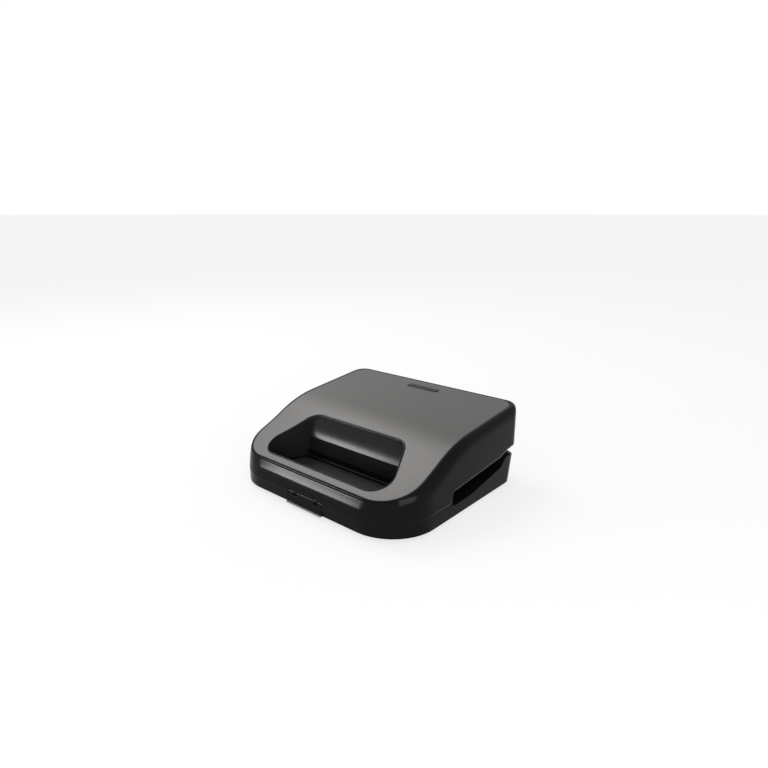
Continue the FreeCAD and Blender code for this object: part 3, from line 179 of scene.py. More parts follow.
class Finish:
    """A material under construction."""

    def __init__(self, name):
        self.material = bpy.data.materials.new(name)
        self.material.use_nodes = True
        self.tree = self.material.node_tree
        self.tree.nodes.clear()

    def node(self, kind, settings=None, inputs=None, output=0):
        """A node of a type, with its settings first, then the values or links of its sockets."""
        made = self.tree.nodes.new(kind)
        for key, value in (settings or {}).items():
            setattr(made, key, value)
        for key, value in (inputs or {}).items():
            if isinstance(value, Wire):
                self.tree.links.new(value.socket, made.inputs[key])
            else:
                made.inputs[key].default_value = value
        return Wire(self, made.outputs[output])

    def noise(self, scale, detail=2.0, rough=0.5, stretch=(1, 1, 1)):
        """Noise on the object's own coordinates, with about as many lumps in a millimetre as its scale says,
        times the stretch along each axis."""
        coordinates = self.node("ShaderNodeTexCoord", output="Object")
        per_mm = tuple(share / MM for share in stretch)
        place = self.node("ShaderNodeMapping", None, {"Vector": coordinates, "Scale": per_mm})
        inputs = {"Vector": place, "Scale": scale, "Detail": detail, "Roughness": rough}
        return self.node("ShaderNodeTexNoise", None, inputs, "Fac")

    def mix(self, share, first, second):
        """The first colour where the share is 0, and the second where it is 1, on the Mix node's colour
        sockets, which share their names with its other ones."""
        first_colour, second_colour, mixed_colour = 6, 7, 2
        inputs = {"Factor": share, first_colour: first, second_colour: second}
        return self.node("ShaderNodeMix", {"data_type": "RGBA"}, inputs, mixed_colour)

    def bump(self, height, depth):
        """A normal bent by a height between 0 and 1, as deep as a depth in millimetres."""
        return self.node("ShaderNodeBump", None, {"Height": height, "Distance": depth * MM})

    def done(self, **sockets):
        """The finished material, with the shader's sockets given by name."""
        words = {key.replace("_", " ").title().replace("Ior", "IOR"): value for key, value in sockets.items()}
        return self.ended(self.node("ShaderNodeBsdfPrincipled", None, words))

    def ended(self, shader):
        """The material, with a shader as its surface."""
        end = self.tree.nodes.new("ShaderNodeOutputMaterial")
        self.tree.links.new(shader.socket, end.inputs["Surface"])
        return self.material


def shade(value, share):
    """A colour made lighter or darker by a share."""
    return tuple(min(1.0, c * share) for c in value[:3]) + (1,)


def gloss_housing(name, tone, dull, level):
    """Polished black moulding, as dull and as reflective as asked: faint flow ripple, polishing marks and
    handling haze."""
    f = Finish(name)
    ripple = f.noise(0.05, 2.0)
    marks = f.noise(1.6, 3.0, 0.6, (1, 0.12, 1))
    haze = f.noise(0.02, 4.0, 0.65)
    base = f.mix(haze, shade(colour(tone), 0.8), shade(colour(tone), 1.25))
    rough = dull + haze * 0.06 + marks * 0.03
    normal = f.bump(ripple * 0.8 + marks * 0.06, 0.035)
    return f.done(base_color=base, roughness=rough, normal=normal, specular_ior_level=level)


def grained_housing(name, tone):
    """Spark-grained black moulding of the deck, the underside and the inner frames."""
    f = Finish(name)
    grain = f.noise(2.2, 3.0, 0.55)
    patch = f.noise(0.03, 3.0)
    base = f.mix(patch, shade(colour(tone), 0.85), shade(colour(tone), 1.3))
    rough = 0.42 + patch * 0.12
    return f.done(base_color=base, roughness=rough, normal=f.bump(grain, 0.03), specular_ior_level=0.25)


def brushed_sheet(pitch):
    """Dark brushed steel: fine streaks that run across the machine, and a slow drift in tone."""
    f = Finish("dark_brushed_steel")
    fine = f.noise(1.0 / pitch, 3.0, 0.6, (0.012, 1, 1))
    broad = f.noise(0.35, 2.0, 0.5, (0.03, 1, 1))
    drift = f.noise(0.012, 2.0)
    streak = fine * 0.65 + broad * 0.35
    tone = f.mix(streak, shade(colour("sheet"), 0.9), shade(colour("sheet"), 1.1))
    base = f.mix(drift * 0.35, tone, shade(colour("sheet"), 0.85))
    rough = 0.36 + fine * 0.1 + drift * 0.04
    return f.done(base_color=base, metallic=0.92, roughness=rough, normal=f.bump(streak, 0.012))


def coated_plate():
    """Non-stick coating over cast aluminium: orange peel and a fine fleck."""
    f = Finish("nonstick_coating")
    peel = f.noise(0.9, 2.0)
    fleck = f.noise(4.0, 1.0).above(0.66, 0.03)
    cast = f.noise(0.06, 3.0)
    base = f.mix(fleck * 0.5, colour("coating"), shade(colour("coating"), 3.2))
    return f.done(base_color=base, roughness=0.36 + cast * 0.14, normal=f.bump(peel + cast, 0.05), ior=1.45)


def plain_steel():
    """Bright steel of pins, screws and shields, with drawn marks and a little tarnish."""
    f = Finish("bright_steel")
    drawn = f.noise(2.5, 2.0, 0.5, (0.1, 1, 1))
    tarnish = f.noise(0.12, 4.0, 0.6)
    base = f.mix(tarnish, shade(colour("steel"), 0.75), shade(colour("steel"), 1.1))
    return f.done(base_color=base, metallic=1.0, roughness=0.22 + tarnish * 0.2, normal=f.bump(drawn, 0.01))


def grey_catch_moulding_and_painted_lip_highlight():
    """Grey satin moulding of the plate catches and of the clip's lower lip. On the lip, the grey is a painted
    highlight for the light it catches from the table. Fine grain and slow wear.
    """
    f = Finish("satin_grey_moulding")
    grain = f.noise(1.8, 3.0, 0.55)
    wear = f.noise(0.09, 4.0, 0.6)
    base = f.mix(wear, shade(colour("clip"), 0.85), shade(colour("clip"), 1.25))
    return f.done(base_color=base, roughness=0.3 + wear * 0.1, normal=f.bump(grain, 0.012), ior=1.45)


def soft_rubber():
    """Dull rubber with a dusty bloom."""
    f = Finish("dull_rubber")
    bloom = f.noise(0.4, 4.0, 0.65)
    grain = f.noise(3.0, 2.0)
    base = f.mix(bloom, shade(colour("rubber"), 0.8), shade(colour("rubber"), 1.6))
    return f.done(base_color=base, roughness=0.7 + bloom * 0.15, normal=f.bump(grain, 0.03))


def smoked_lens():
    """Smoked clear moulding over the lamps, with a faint inner frost."""
    f = Finish("smoked_lens")
    frost = f.noise(0.8, 3.0)
    base = f.mix(frost, shade(colour("lens"), 0.85), shade(colour("lens"), 1.2))
    rough = 0.2 + frost * 0.08
    return f.done(base_color=base, roughness=rough, normal=f.bump(frost, 0.01), specular_ior_level=0.06)


def lamp_glass(name, tint):
    """Tinted lamp, a little cloudy."""
    f = Finish(name)
    cloud = f.noise(0.9, 2.0)
    return f.done(base_color=f.mix(cloud, shade(tint, 0.8), shade(tint, 1.2)), roughness=0.12 + cloud * 0.08)


def fired_ceramic():
    """Unglazed ceramic with a slight speckle."""
    f = Finish("fired_ceramic")
    speck = f.noise(2.0, 2.0).above(0.63, 0.04)
    cloud = f.noise(0.2, 3.0)
    base = f.mix(speck * 0.4, colour("ceramic"), shade(colour("ceramic"), 0.6))
    return f.done(base_color=base, roughness=0.55 + cloud * 0.15, normal=f.bump(cloud, 0.03))


def lamp_card():
    """Green lacquered board with a glass weave."""
    f = Finish("lacquered_board")
    weave = f.noise(1.2, 1.0, 0.5, (1, 0.2, 1)) * f.noise(1.2, 1.0, 0.5, (0.2, 1, 1))
    base = f.mix(weave, shade(colour("board"), 0.7), shade(colour("board"), 1.3))
    return f.done(base_color=base, roughness=0.35 + weave * 0.2, normal=f.bump(weave, 0.02))


FINISH_MAKERS = {
    "gloss": lambda: gloss_housing("gloss_black_moulding", "housing", dull=0.09, level=0.055),
    "satin": lambda: gloss_housing("satin_black_moulding", "matt_housing", dull=0.15, level=0.09),
    "grained": lambda: grained_housing("grained_black_moulding", "matt_housing"),
    "deck": lambda: grained_housing("grained_deck", "deck"),
    "sheet": lambda: brushed_sheet(sizes()["brush_pitch"]),
    "coating": coated_plate,
    "steel": plain_steel,
    # Grey of the plate catches, and a painted highlight on the clip's lower lip.
    "clip": grey_catch_moulding_and_painted_lip_highlight,
    "rubber": soft_rubber,
    "lens": smoked_lens,
    "red": lambda: lamp_glass("red_lamp", tint=(0.45, 0.02, 0.015, 1)),
    "green": lambda: lamp_glass("green_lamp", tint=(0.03, 0.3, 0.05, 1)),
    "ceramic": fired_ceramic,
    "board": lamp_card,
}
FINISHES = {}


def finish_named(name):
    """Each finish is made once, when a piece first asks for it."""
    if name not in FINISHES:
        FINISHES[name] = FINISH_MAKERS[name]()
    return FINISHES[name]


def dress(finish, *names):
    """CAD nodes that keep their own shape get a better material."""
    for name in names:
        mesh = NODES[name].data
        mesh.materials.clear()
        mesh.materials.append(finish_named(finish))


def grid_faces(rows, columns, closed):
    """Four-cornered faces of a grid of points whose columns may run round to the first one."""
    index = np.arange(rows * columns).reshape(rows, columns)
    following = np.roll(index, -1, axis=1)
    here, there = (index, following) if closed else (index[:, :-1], index[:, 1:])
    faces = np.stack([here[:-1], there[:-1], there[1:], here[1:]], axis=-1)
    return faces.reshape(-1, 4)


def joined(*surfaces):
    """Several (points, faces) surfaces as one."""
    counts = np.cumsum([0] + [len(points) for points, _ in surfaces])
    points = np.concatenate([points for points, _ in surfaces])
    faces = np.concatenate([faces + start for (_, faces), start in zip(surfaces, counts)])
    return points, faces


def surface(rows, closed=True):
    """A grid of points, row by row, as (points, faces)."""
    rows = np.asarray(rows, float)
    return rows.reshape(-1, 3), grid_faces(rows.shape[0], rows.shape[1], closed)


def capped(rows):
    """A closed grid of points with one flat face over its first ring and one over its last."""
    points, faces = surface(rows)
    count = np.shape(rows)[1]
    first, last = np.arange(count)[::-1], np.arange(len(points) - count, len(points))
    return points, faces.tolist() + [first.tolist(), last.tolist()]


def close(made):
    """Fills the open edges of a piece."""
    shape = bmesh.new()
    shape.from_mesh(made.data)
    bmesh.ops.holes_fill(shape, edges=[edge for edge in shape.edges if edge.is_boundary], sides=0)
    shape.to_mesh(made.data)
    shape.free()


def thicken(made, depth):
    """Gives a surface a wall behind its outer face."""
    wall = made.modifiers.new("wall", "SOLIDIFY")
    wall.thickness = depth * MM
    wall.offset = -1


def piece(name, made, finish, body, replaced=()):
    """A mesh in millimetres becomes an object that rides on a body in place of CAD nodes."""
    points, faces = made
    mesh = bpy.data.meshes.new(name)
    mesh.from_pydata((points * MM).tolist(), [], [list(face) for face in faces])
    mesh.polygons.foreach_set("use_smooth", np.ones(len(mesh.polygons), bool))
    mesh.materials.append(finish_named(finish))
    made_object = bpy.data.objects.new(name, mesh)
    bpy.context.scene.collection.objects.link(made_object)
    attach(made_object, body)
    if replaced:
        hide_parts(*replaced)
    return made_object


def values_of(items, key, width, kind=float):
    """A value of each item of a mesh, such as a point's place or a face's normal, as an array with a row for
    each."""
    values = np.empty(len(items) * width, kind)
    items.foreach_get(key, values)
    return values.reshape(-1, width)


def second_finish(made, finish, where):
    """Gives those faces of a piece that are marked a second finish."""
    made.data.materials.append(finish_named(finish))
    made.data.polygons.foreach_set("material_index", where.astype(int))


def cad_copy(node, keep=None):
    """A CAD node's merged mesh in millimetres, or the faces of it whose corners and middle pass a test."""
    mesh = NODES[node].data
    points = values_of(mesh.vertices, "co", 3) / MM
    corners = values_of(mesh.loops, "vertex_index", 1, int).reshape(-1, 3)
    merged, where = np.unique(np.round(points, 3), axis=0, return_inverse=True)
    faces = where.reshape(-1)[corners]
    faces = faces[(faces != np.roll(faces, 1, axis=1)).all(axis=1)]
    if keep is not None:
        kept = keep(merged)[faces].all(axis=1) & keep(merged[faces].mean(axis=1))
        used, where = np.unique(faces[kept], return_inverse=True)
        merged, faces = merged[used], where.reshape(-1, 3)
    return merged, faces


def softened(name, node, finish, body, width, segments=2):
    """A CAD node's shape with its hard edges rounded over by a width, and the flat faces' normals kept
    flat."""
    made = piece(name, cad_copy(node), finish, body, (node,))
    round_over = made.modifiers.new("edge_round", "BEVEL")
    round_over.width = width * MM
    round_over.segments = segments
    round_over.limit_method = "ANGLE"
    round_over.angle_limit = SHARP_ANGLE
    settled = made.modifiers.new("flat_normals", "WEIGHTED_NORMAL")
    settled.weight = FLAT_WEIGHT
    return made


FOOT_ROUND = 2.4
FOOT_SEGMENTS = 3
LEVEL_SLACK = 0.05
OUTER_SLACK = 0.8
BASE_SET_BACK = 11.2


def round_foot(made, width):
    """Weights the edge rounds of a piece of triangles: wide along its lowest outer edge, and the plain width
    on its other sharp edges. An edge is sharp where the normals of its two faces differ by more than the
    sharp angle, and outer where it lies as far out as the front corners' arcs, or far back."""
    mesh = made.data
    points = values_of(mesh.vertices, "co", 3) / MM
    ends = points[values_of(mesh.edges, "vertices", 2, int)]
    order = np.argsort(values_of(mesh.loops, "edge_index", 1, int)[:, 0], kind="stable")
    first, second = (order // 3).reshape(-1, 2).T
    normals = values_of(mesh.polygons, "normal", 3)
    sharp = np.einsum("ij,ij->i", normals[first], normals[second]) < math.cos(SHARP_ANGLE)
    level = (ends[:, :, 2] < points[:, 2].min() + LEVEL_SLACK).all(axis=1)
    x, y, _ = ends.mean(axis=1).T
    aside = np.clip(abs(x) - (SIDE - FRONT_CORNER), 0, None)
    ahead = np.clip(FRONT + FRONT_CORNER - y, 0, None)
    reach = np.hypot(aside, ahead)
    outer = (reach > FRONT_CORNER - OUTER_SLACK) | (y > REAR - BASE_SET_BACK)
    weight = np.where(level & outer & sharp, 1.0, np.where(sharp, width / FOOT_ROUND, 0.0))
    layer = mesh.attributes.new("bevel_weight_edge", "FLOAT", "EDGE")
    layer.data.foreach_set("value", weight.astype(np.float32))
    round_over = made.modifiers["edge_round"]
    round_over.limit_method = "WEIGHT"
    round_over.width = FOOT_ROUND * MM
    round_over.segments = FOOT_SEGMENTS


def arc_height(start, slope, end, y):
    """Height at y on the circle that leaves a start point along a slope and passes through an end point, and
    the circle's middle."""
    along = np.array([1.0, slope]) / math.hypot(1, slope)
    across = np.array([-along[1], along[0]])
    chord = np.subtract(end, start)
    reach = chord @ chord / (2 * chord @ across)
    middle = np.asarray(start) + across * reach
    inside = np.clip(reach * reach - (y - middle[0]) ** 2, 0, None)
    return middle[1] - np.sign(reach) * np.sqrt(inside), middle


def top(y):
    """Height of the lid's top: a straight slope, a convex arc down to the brow and a hollow arc to the
    front."""
    y = np.asarray(y, float)
    crest, brow, nose, back = (17.0, 84.1), (-38.1, 67.3), (FRONT, 39.0), (REAR, 94.3)
    slope = (back[1] - crest[1]) / (back[0] - crest[0])
    fall, middle = arc_height(crest, slope, brow, y)
    brow_slope = -(brow[0] - middle[0]) / (brow[1] - middle[1])
    hollow, _ = arc_height(brow, brow_slope, nose, y)
    straight = crest[1] + slope * (y - crest[0])
    return np.where(y >= crest[0], straight, np.where(y >= brow[0], fall, hollow))


EDGE_Y = (-26.1, -24.1, 69.4, 83.4, 91.4)
EDGE_Z = (PARTING, 32.9, 41.0, 46.0, 47.2)
EDGE_TURNS = (-26.3, -25.1, -23.9)

SIDE_START, SIDE_END = FRONT + FRONT_CORNER, REAR - REAR_CORNER
SIDE_STEPS = np.unique(np.concatenate([
    np.linspace(0, 1, 97),
    (np.array(EDGE_Y + EDGE_TURNS) - SIDE_START) / (SIDE_END - SIDE_START),
]))
RUN_STEPS = np.linspace(0, 1, 49)
ARC_STEPS = np.linspace(0, 1, 21)
SECTION_ROWS = 41


def outline(corners):
    """Closed plan outline of a four-sided shape whose corners are (x, y, radius): a run and an arc that
    touches both sides in turn, from the front left to the front right and on round, with the same number of
    points whatever the size."""
    places = np.array([corner[:2] for corner in corners], float)
    radii = [corner[2] for corner in corners]
    pieces = []
    ends = []
    for k in range(4):
        here, before, after = places[k], places[k - 1], places[(k + 1) % 4]
        back = (before - here) / np.linalg.norm(before - here)
        ahead = (after - here) / np.linalg.norm(after - here)
        half = math.acos(np.clip(back @ ahead, -1, 1)) / 2
        reach = radii[k] / math.tan(half)
        middle = here + (back + ahead) / np.linalg.norm(back + ahead) * radii[k] / math.sin(half)
        first, last = here + back * reach - middle, here + ahead * reach - middle
        start = math.atan2(first[1], first[0])
        sweep = (math.atan2(last[1], last[0]) - start) % (2 * math.pi)
        angle = start + sweep * ARC_STEPS
        arc = middle + radii[k] * np.stack([np.cos(angle), np.sin(angle)], axis=-1)
        ends.append((here + back * reach, here + ahead * reach, arc))
    steps = (RUN_STEPS, SIDE_STEPS, RUN_STEPS, 1 - SIDE_STEPS[::-1])
    for k in range(4):
        start, stop = ends[k - 1][1], ends[k][0]
        run = start + (stop - start) * steps[k][:, None]
        pieces += [run[:-1], ends[k][2][:-1]]
    return np.concatenate(pieces)


def rectangle(side, front, rear, front_corner, rear_corner):
    """Corners of a body outline, from the front right."""
    return [(side, front, front_corner), (side, rear, rear_corner), (-side, rear, rear_corner),
            (-side, front, front_corner)]


def sheet_outline(grow):
    """Edge of the steel sheet, grown by an amount."""
    return outline(rectangle(SHEET_SIDE + grow, SHEET_FRONT - grow, SHEET_REAR + grow,
                             SHEET_FRONT_CORNER + grow, SHEET_REAR_CORNER + grow))


def opening_outline(grow):
    """Finger opening, wider at the front than at the back, grown by an amount, and by a share of it at the
    ends."""
    radius, aside = OPENING_CORNER + grow, OPENING_ASIDE * grow
    front, rear = OPENING_FRONT - grow, OPENING_REAR + grow
    return outline([(OPENING_FRONT_SIDE + aside, front, radius), (OPENING_REAR_SIDE + aside, rear, radius),
                    (-OPENING_REAR_SIDE - aside, rear, radius), (-OPENING_FRONT_SIDE - aside, front, radius)])


def on_top(plan, lift=0.0):
    """Plan points put on the lid's top surface, raised by a lift."""
    return np.column_stack([plan, top(plan[:, 1]) + lift])


def lid_edge(y):
    """Lower edge of the lid seen from the side: level, a step up at the side gap, then a slow rise."""
    return np.interp(y, EDGE_Y, EDGE_Z)


UPRIGHT_ROWS = 0.4
SHOULDER_LIMIT = 0.62
SIDE_FULLNESS, REAR_FULLNESS = 2.5, 8.0


def round_section(rise, fullness):
    """Upright wall with a shoulder that is a quarter of a superellipse: shares of the way in and of the way
    up. The shoulder takes no more than a share of the rise, and the upright wall has a share of the rows."""
    t = np.linspace(0, 1, SECTION_ROWS)[:, None]
    angle = np.clip((t - UPRIGHT_ROWS) / (1 - UPRIGHT_ROWS), 0, 1) * math.pi / 2
    inward = 1 - np.cos(angle) ** (2 / fullness)
    turn = 1 - np.minimum(sizes()["shoulder_drop"], SHOULDER_LIMIT * rise) / rise
    shoulder = turn + (1 - turn) * np.sin(angle) ** (2 / fullness)
    return inward, np.where(t < UPRIGHT_ROWS, turn * t / UPRIGHT_ROWS, shoulder)


WALL_ROWS = 0.8
LIP_INWARD = 0.03
LEAN_SUMS = 401
LEAN_STEPS = (0, 0.42, 0.52, 0.80, 0.84, 1)
LEANS = (0.19, 0.27, 0.375, 0.40, 0.24, 0.22)


def bowed_section(rise):
    """Wall whose lean, which is the way in for each way up, is given at steps of its height and summed from
    the foot, with a small rolled lip, a quarter of an ellipse, on top: shares of the ways in and up."""
    t = np.linspace(0, 1, SECTION_ROWS)[:, None]
    climb = np.clip(t / WALL_ROWS, 0, 1)
    turn = np.clip((t - WALL_ROWS) / (1 - WALL_ROWS), 0, 1) * math.pi / 2
    steps = np.linspace(0, 1, LEAN_SUMS)
    swept = np.cumsum(np.interp(steps, LEAN_STEPS, LEANS))
    wall = np.interp(climb, steps, swept / swept[-1])
    inward = (1 - LIP_INWARD) * wall + LIP_INWARD * (1 - np.cos(turn))
    lip = sizes()["lip_drop"] / rise
    upward = (1 - lip) * climb + lip * np.sin(turn)
    return np.repeat(inward, len(rise), axis=1), upward


GROOVE_DEPTH = 1.3


def lid_wall():
    """Lid wall from its lower edge to the groove round the steel sheet: bowed at the front, upright with a
    round shoulder at the sides and back, the two sections mixed by the way that the wall faces."""
    s = sizes()
    low = outline(rectangle(SIDE, FRONT, REAR, FRONT_CORNER, REAR_CORNER))
    inner = on_top(sheet_outline(s["groove"]))
    groove = on_top(sheet_outline(s["groove"] / 2), -GROOVE_DEPTH)
    foot = lid_edge(low[:, 1])
    rise = inner[:, 2] - foot
    way = inner[:, :2] - low
    along = np.roll(low, -1, axis=0) - np.roll(low, 1, axis=0)
    facing = along[:, 0] / np.linalg.norm(along, axis=1)
    front, rear = np.clip(facing, 0, 1) ** 2, np.clip(-facing, 0, 1) ** 2
    fullness = SIDE_FULLNESS + (REAR_FULLNESS - SIDE_FULLNESS) * rear
    rows = []
    for round_in, round_up, bow_in, bow_up in zip(*round_section(rise, fullness), *bowed_section(rise)):
        inward = round_in + (bow_in - round_in) * front
        upward = round_up + (bow_up - round_up) * front
        rows.append(np.column_stack([low + way * inward[:, None], foot + rise * upward]))
    return surface(rows + [groove])


KNUCKLE_X, KNUCKLE_HALF, KNUCKLE_FRONT, KNUCKLE_REAR, KNUCKLE_TOP = 78.0, 5.6, 99.0, 112.2, 62.0
LUG_X, LUG_HALF, LUG_REAR, LUG_TOP = 16.0, 3.0, -104.0, 21.5


def on_knuckle(points):
    """Whether points lie on either hinge knuckle of the lid."""
    x, y, z = points.T
    between = (y > KNUCKLE_FRONT) & (y < KNUCKLE_REAR)
    return (abs(abs(x) - KNUCKLE_X) < KNUCKLE_HALF) & between & (z < KNUCKLE_TOP)


def on_lug(points):
    """Whether points lie on either of the lid's lugs for the clip."""
    x, y, z = points.T
    return (abs(abs(x) - LUG_X) < LUG_HALF) & (y < LUG_REAR) & (z < LUG_TOP)


class SANDWICH_OT_lid_housing(bpy.types.Operator):
    """Makes the black lid housing with its knuckles and clip lugs"""

    bl_idname = "sandwich.lid_housing"
    bl_label = "Lid housing"

    def execute(self, context):
        housing = piece("lid_housing", lid_wall(), "gloss", "lid", ("lid_shell",))
        thicken(housing, HOUSING_WALL)
        lugs = joined(cad_copy("lid_shell", on_knuckle), cad_copy("lid_shell", on_lug))
        close(piece("lid_lugs", lugs, "gloss", "lid"))
        return {"FINISHED"}


SHEET_EDGE = ((0, -0.9), (0, -0.4), (-0.12, -0.12), (-0.45, 0.0))
SHEET_TUCK = 0.8
SHEET_ROWS = 60


def sheet_surface():
    """Steel sheet: a rolled edge of a few rings, then rings that go in even shares of the way from the edge
    to just outside the finger opening, all put on the lid's top."""
    edge = [on_top(sheet_outline(grow), lift) for grow, lift in SHEET_EDGE]
    outer, inner = sheet_outline(SHEET_EDGE[-1][0]), opening_outline(SHEET_TUCK)
    shares = np.linspace(0, 1, SHEET_ROWS + 1)[1:]
    return surface(edge + [on_top(outer + (inner - outer) * share) for share in shares])


class SANDWICH_OT_steel_sheet(bpy.types.Operator):
    """Makes the brushed steel sheet that covers the lid"""

    bl_idname = "sandwich.steel_sheet"
    bl_label = "Steel sheet"

    def execute(self, context):
        sheet = piece("steel_sheet", sheet_surface(), "sheet", "lid", ("lid_skin",))
        thicken(sheet, SHEET_WALL)
        return {"FINISHED"}


ROLL_CROWN, ROLL_FOOT, ROLL_RADIUS = np.array([-27.6, 71.4]), np.array([-38.1, 48.0]), 90.0
ROLL_UNDER = ((-38.3, 47.3), (-38.2, 46.7), (-37.7, 46.3), (-36.5, 46.0), (-36.4, 44.0), (-36.4, 24.4),
              (-36.7, 23.8), (-37.4, 23.5), (-38.6, 23.2), (-39.0, 22.9), (-39.1, 22.4), (-39.1, 20.6))
ROLL_POINTS, ROLL_COLUMNS = 41, 41
ROLL_TUCK = 1.0


def roll_section():
    """Section of the finger opening's back wall, from the top: a bowed face on a wide circle through its
    crown and foot, an edge that turns under to the upright wall behind it, and a small flange at the
    bottom."""
    chord = ROLL_CROWN - ROLL_FOOT
    ahead = np.array([-chord[1], chord[0]]) / np.linalg.norm(chord)
    middle = (ROLL_CROWN + ROLL_FOOT) / 2 - ahead * math.sqrt(ROLL_RADIUS ** 2 - chord @ chord / 4)
    ends = [math.atan2(end[1] - middle[1], end[0] - middle[0]) for end in (ROLL_CROWN, ROLL_FOOT)]
    angle = np.linspace(*ends, ROLL_POINTS)
    face = middle + ROLL_RADIUS * np.column_stack([np.cos(angle), np.sin(angle)])
    return np.concatenate([face, ROLL_UNDER])


def rolled_wall():
    """Back wall of the finger opening: its section carried straight across, at each depth as wide as the
    opening is there, and tucked into the walls at both ends."""
    section_y, section_z = roll_section().T
    spread = (OPENING_FRONT_SIDE - OPENING_REAR_SIDE) / (OPENING_REAR - OPENING_FRONT)
    half_width = OPENING_REAR_SIDE + (OPENING_REAR - section_y) * spread + ROLL_TUCK
    x = half_width[:, None] * np.linspace(1, -1, ROLL_COLUMNS)
    y, z = (np.broadcast_to(values[:, None], x.shape) for values in (section_y, section_z))
    return surface(np.stack([x, y, z], axis=-1), closed=False)


LINER_FLOOR = 21.0
LINER_DRAFT = 0.5
LINER_ROWS = 24
BEAD_ROWS = 9
BEAD_OFFSET, BEAD_SINK = 0.1, 0.05


def liner_surface():
    """Liner of the finger opening: a bead, half an ellipse carried round the opening's edge on the lid's top,
    then walls that go down to a level floor in even shares and draw in by a small draft."""
    s = sizes()
    half = s["bead_width"] / 2
    rows = [on_top(opening_outline(BEAD_OFFSET + half * math.cos(angle)),
                   s["bead_height"] * math.sin(angle) - BEAD_SINK)
            for angle in np.linspace(0, math.pi, BEAD_ROWS)]
    for share in np.linspace(0, 1, LINER_ROWS + 1)[1:]:
        plan = opening_outline(BEAD_OFFSET - half - LINER_DRAFT * share)
        rim = top(plan[:, 1]) - BEAD_SINK
        rows.append(np.column_stack([plan, rim + (LINER_FLOOR - rim) * share]))
    return surface(rows)


class SANDWICH_OT_grip(bpy.types.Operator):
    """Makes the liner of the finger opening with its bead and rolled back wall"""

    bl_idname = "sandwich.grip"
    bl_label = "Finger grip"

    def execute(self, context):
        made = joined(liner_surface(), rolled_wall())
        grip = piece("finger_grip", made, "satin", "lid", ("handle_grip",))
        thicken(grip, GRIP_WALL)
        return {"FINISHED"}


class SANDWICH_OT_lid_underside(bpy.types.Operator):
    """Makes the mouldings under the lid"""

    bl_idname = "sandwich.lid_underside"
    bl_label = "Lid underside"

    def execute(self, context):
        dress("grained", "handle_cover")
        softened("plate_frame", "lid_frame", "grained", "lid", sizes()["edge_round"])
        return {"FINISHED"}


DECK_REAR, DECK_HEIGHT, DECK_SLACK, DECK_FACING = -36.0, 18.9, 1.2, 0.9


def on_deck(mesh):
    """Whether each face of the base looks up at the level of the deck and lies in front of the plate well."""
    _, y, z = values_of(mesh.polygons, "center", 3).T / MM
    upward = values_of(mesh.polygons, "normal", 3)[:, 2] > DECK_FACING
    return upward & (y < DECK_REAR) & (abs(z - DECK_HEIGHT) < DECK_SLACK)


class SANDWICH_OT_base(bpy.types.Operator):
    """Makes the base housing and its bottom cover"""

    bl_idname = "sandwich.base"
    bl_label = "Base"

    def execute(self, context):
        width = sizes()["edge_round"]
        base = softened("base_housing", "base_shell", "gloss", "base", width)
        second_finish(base, "deck", on_deck(base.data))
        round_foot(base, width)
        softened("bottom_cover", "base_cover", "grained", "base", width)
        return {"FINISHED"}


PLATE_ROUND, SMALL_ROUND, PIN_ROUND = 0.7, 0.6, 0.5


class SANDWICH_OT_plates(bpy.types.Operator):
    """Makes the two coated sandwich plates"""

    bl_idname = "sandwich.plates"
    bl_label = "Plates"

    def execute(self, context):
        softened("plate_below", "lower_plate", "coating", "base", PLATE_ROUND, segments=3)
        softened("plate_above", "upper_plate", "coating", "lid", PLATE_ROUND, segments=3)
        return {"FINISHED"}


class SANDWICH_OT_catches(bpy.types.Operator):
    """Makes the four sliding plate catches"""

    bl_idname = "sandwich.catches"
    bl_label = "Plate catches"

    def execute(self, context):
        for place in ("lower_catch_left", "lower_catch_right", "upper_catch_left", "upper_catch_right"):
            softened(place + "_slider", place, "clip", place, SMALL_ROUND, segments=3)
        return {"FINISHED"}


# Height below which the clip's faces are painted grey, as a painted highlight for the light its lower lip
# catches from the table.
PAINTED_LIP_HIGHLIGHT_HEIGHT = 5.6


class SANDWICH_OT_front_clip(bpy.types.Operator):
    """Makes the front clip and its pin"""

    bl_idname = "sandwich.front_clip"
    bl_label = "Front clip"

    def execute(self, context):
        clip = softened("front_clip", "latch_clip", "gloss", "latch", SMALL_ROUND, segments=3)
        # The clip's lower lip is painted grey, a painted highlight for the light it catches from the table.
        # The rest stays gloss black.
        height = values_of(clip.data.polygons, "center", 3)[:, 2] / MM
        second_finish(clip, "clip", height < PAINTED_LIP_HIGHLIGHT_HEIGHT)
        dress("steel", "latch_pin")
        return {"FINISHED"}


LENS_LENGTH, LENS_WIDTH, LENS_Y = 48.5, 9.5, 93.4
LENS_RINGS = ((0, -1.2), (0, 0.1), (0.12, 0.3), (0.4, 0.42), (1.2, 0.5), (2.6, 0.55), (4.7, 0.57))
LENS_POINTS, LENS_RIM_ROWS, LENS_SWITCH = 96, 3, 40


def ring_angles(count):
    """Angles of points at even steps round a circle."""
    return np.linspace(0, 2 * math.pi, count + 1)[:-1]


def lens_surface():
    """Lens: rings with straight sides and round ends, given by how much they shrink and how high they lie on
    the lid's top. A ring's point lies on a circle that is moved out to the nearer end."""
    angle = ring_angles(LENS_POINTS)
    ends = np.clip(np.cos(angle) * LENS_SWITCH, -1, 1) * (LENS_LENGTH - LENS_WIDTH) / 2
    rows = []
    for shrink, lift in LENS_RINGS:
        radius = LENS_WIDTH / 2 - shrink
        plan = np.column_stack([radius * np.cos(angle) + ends, LENS_Y + radius * np.sin(angle)])
        rows.append(on_top(plan, lift))
    return capped(rows)


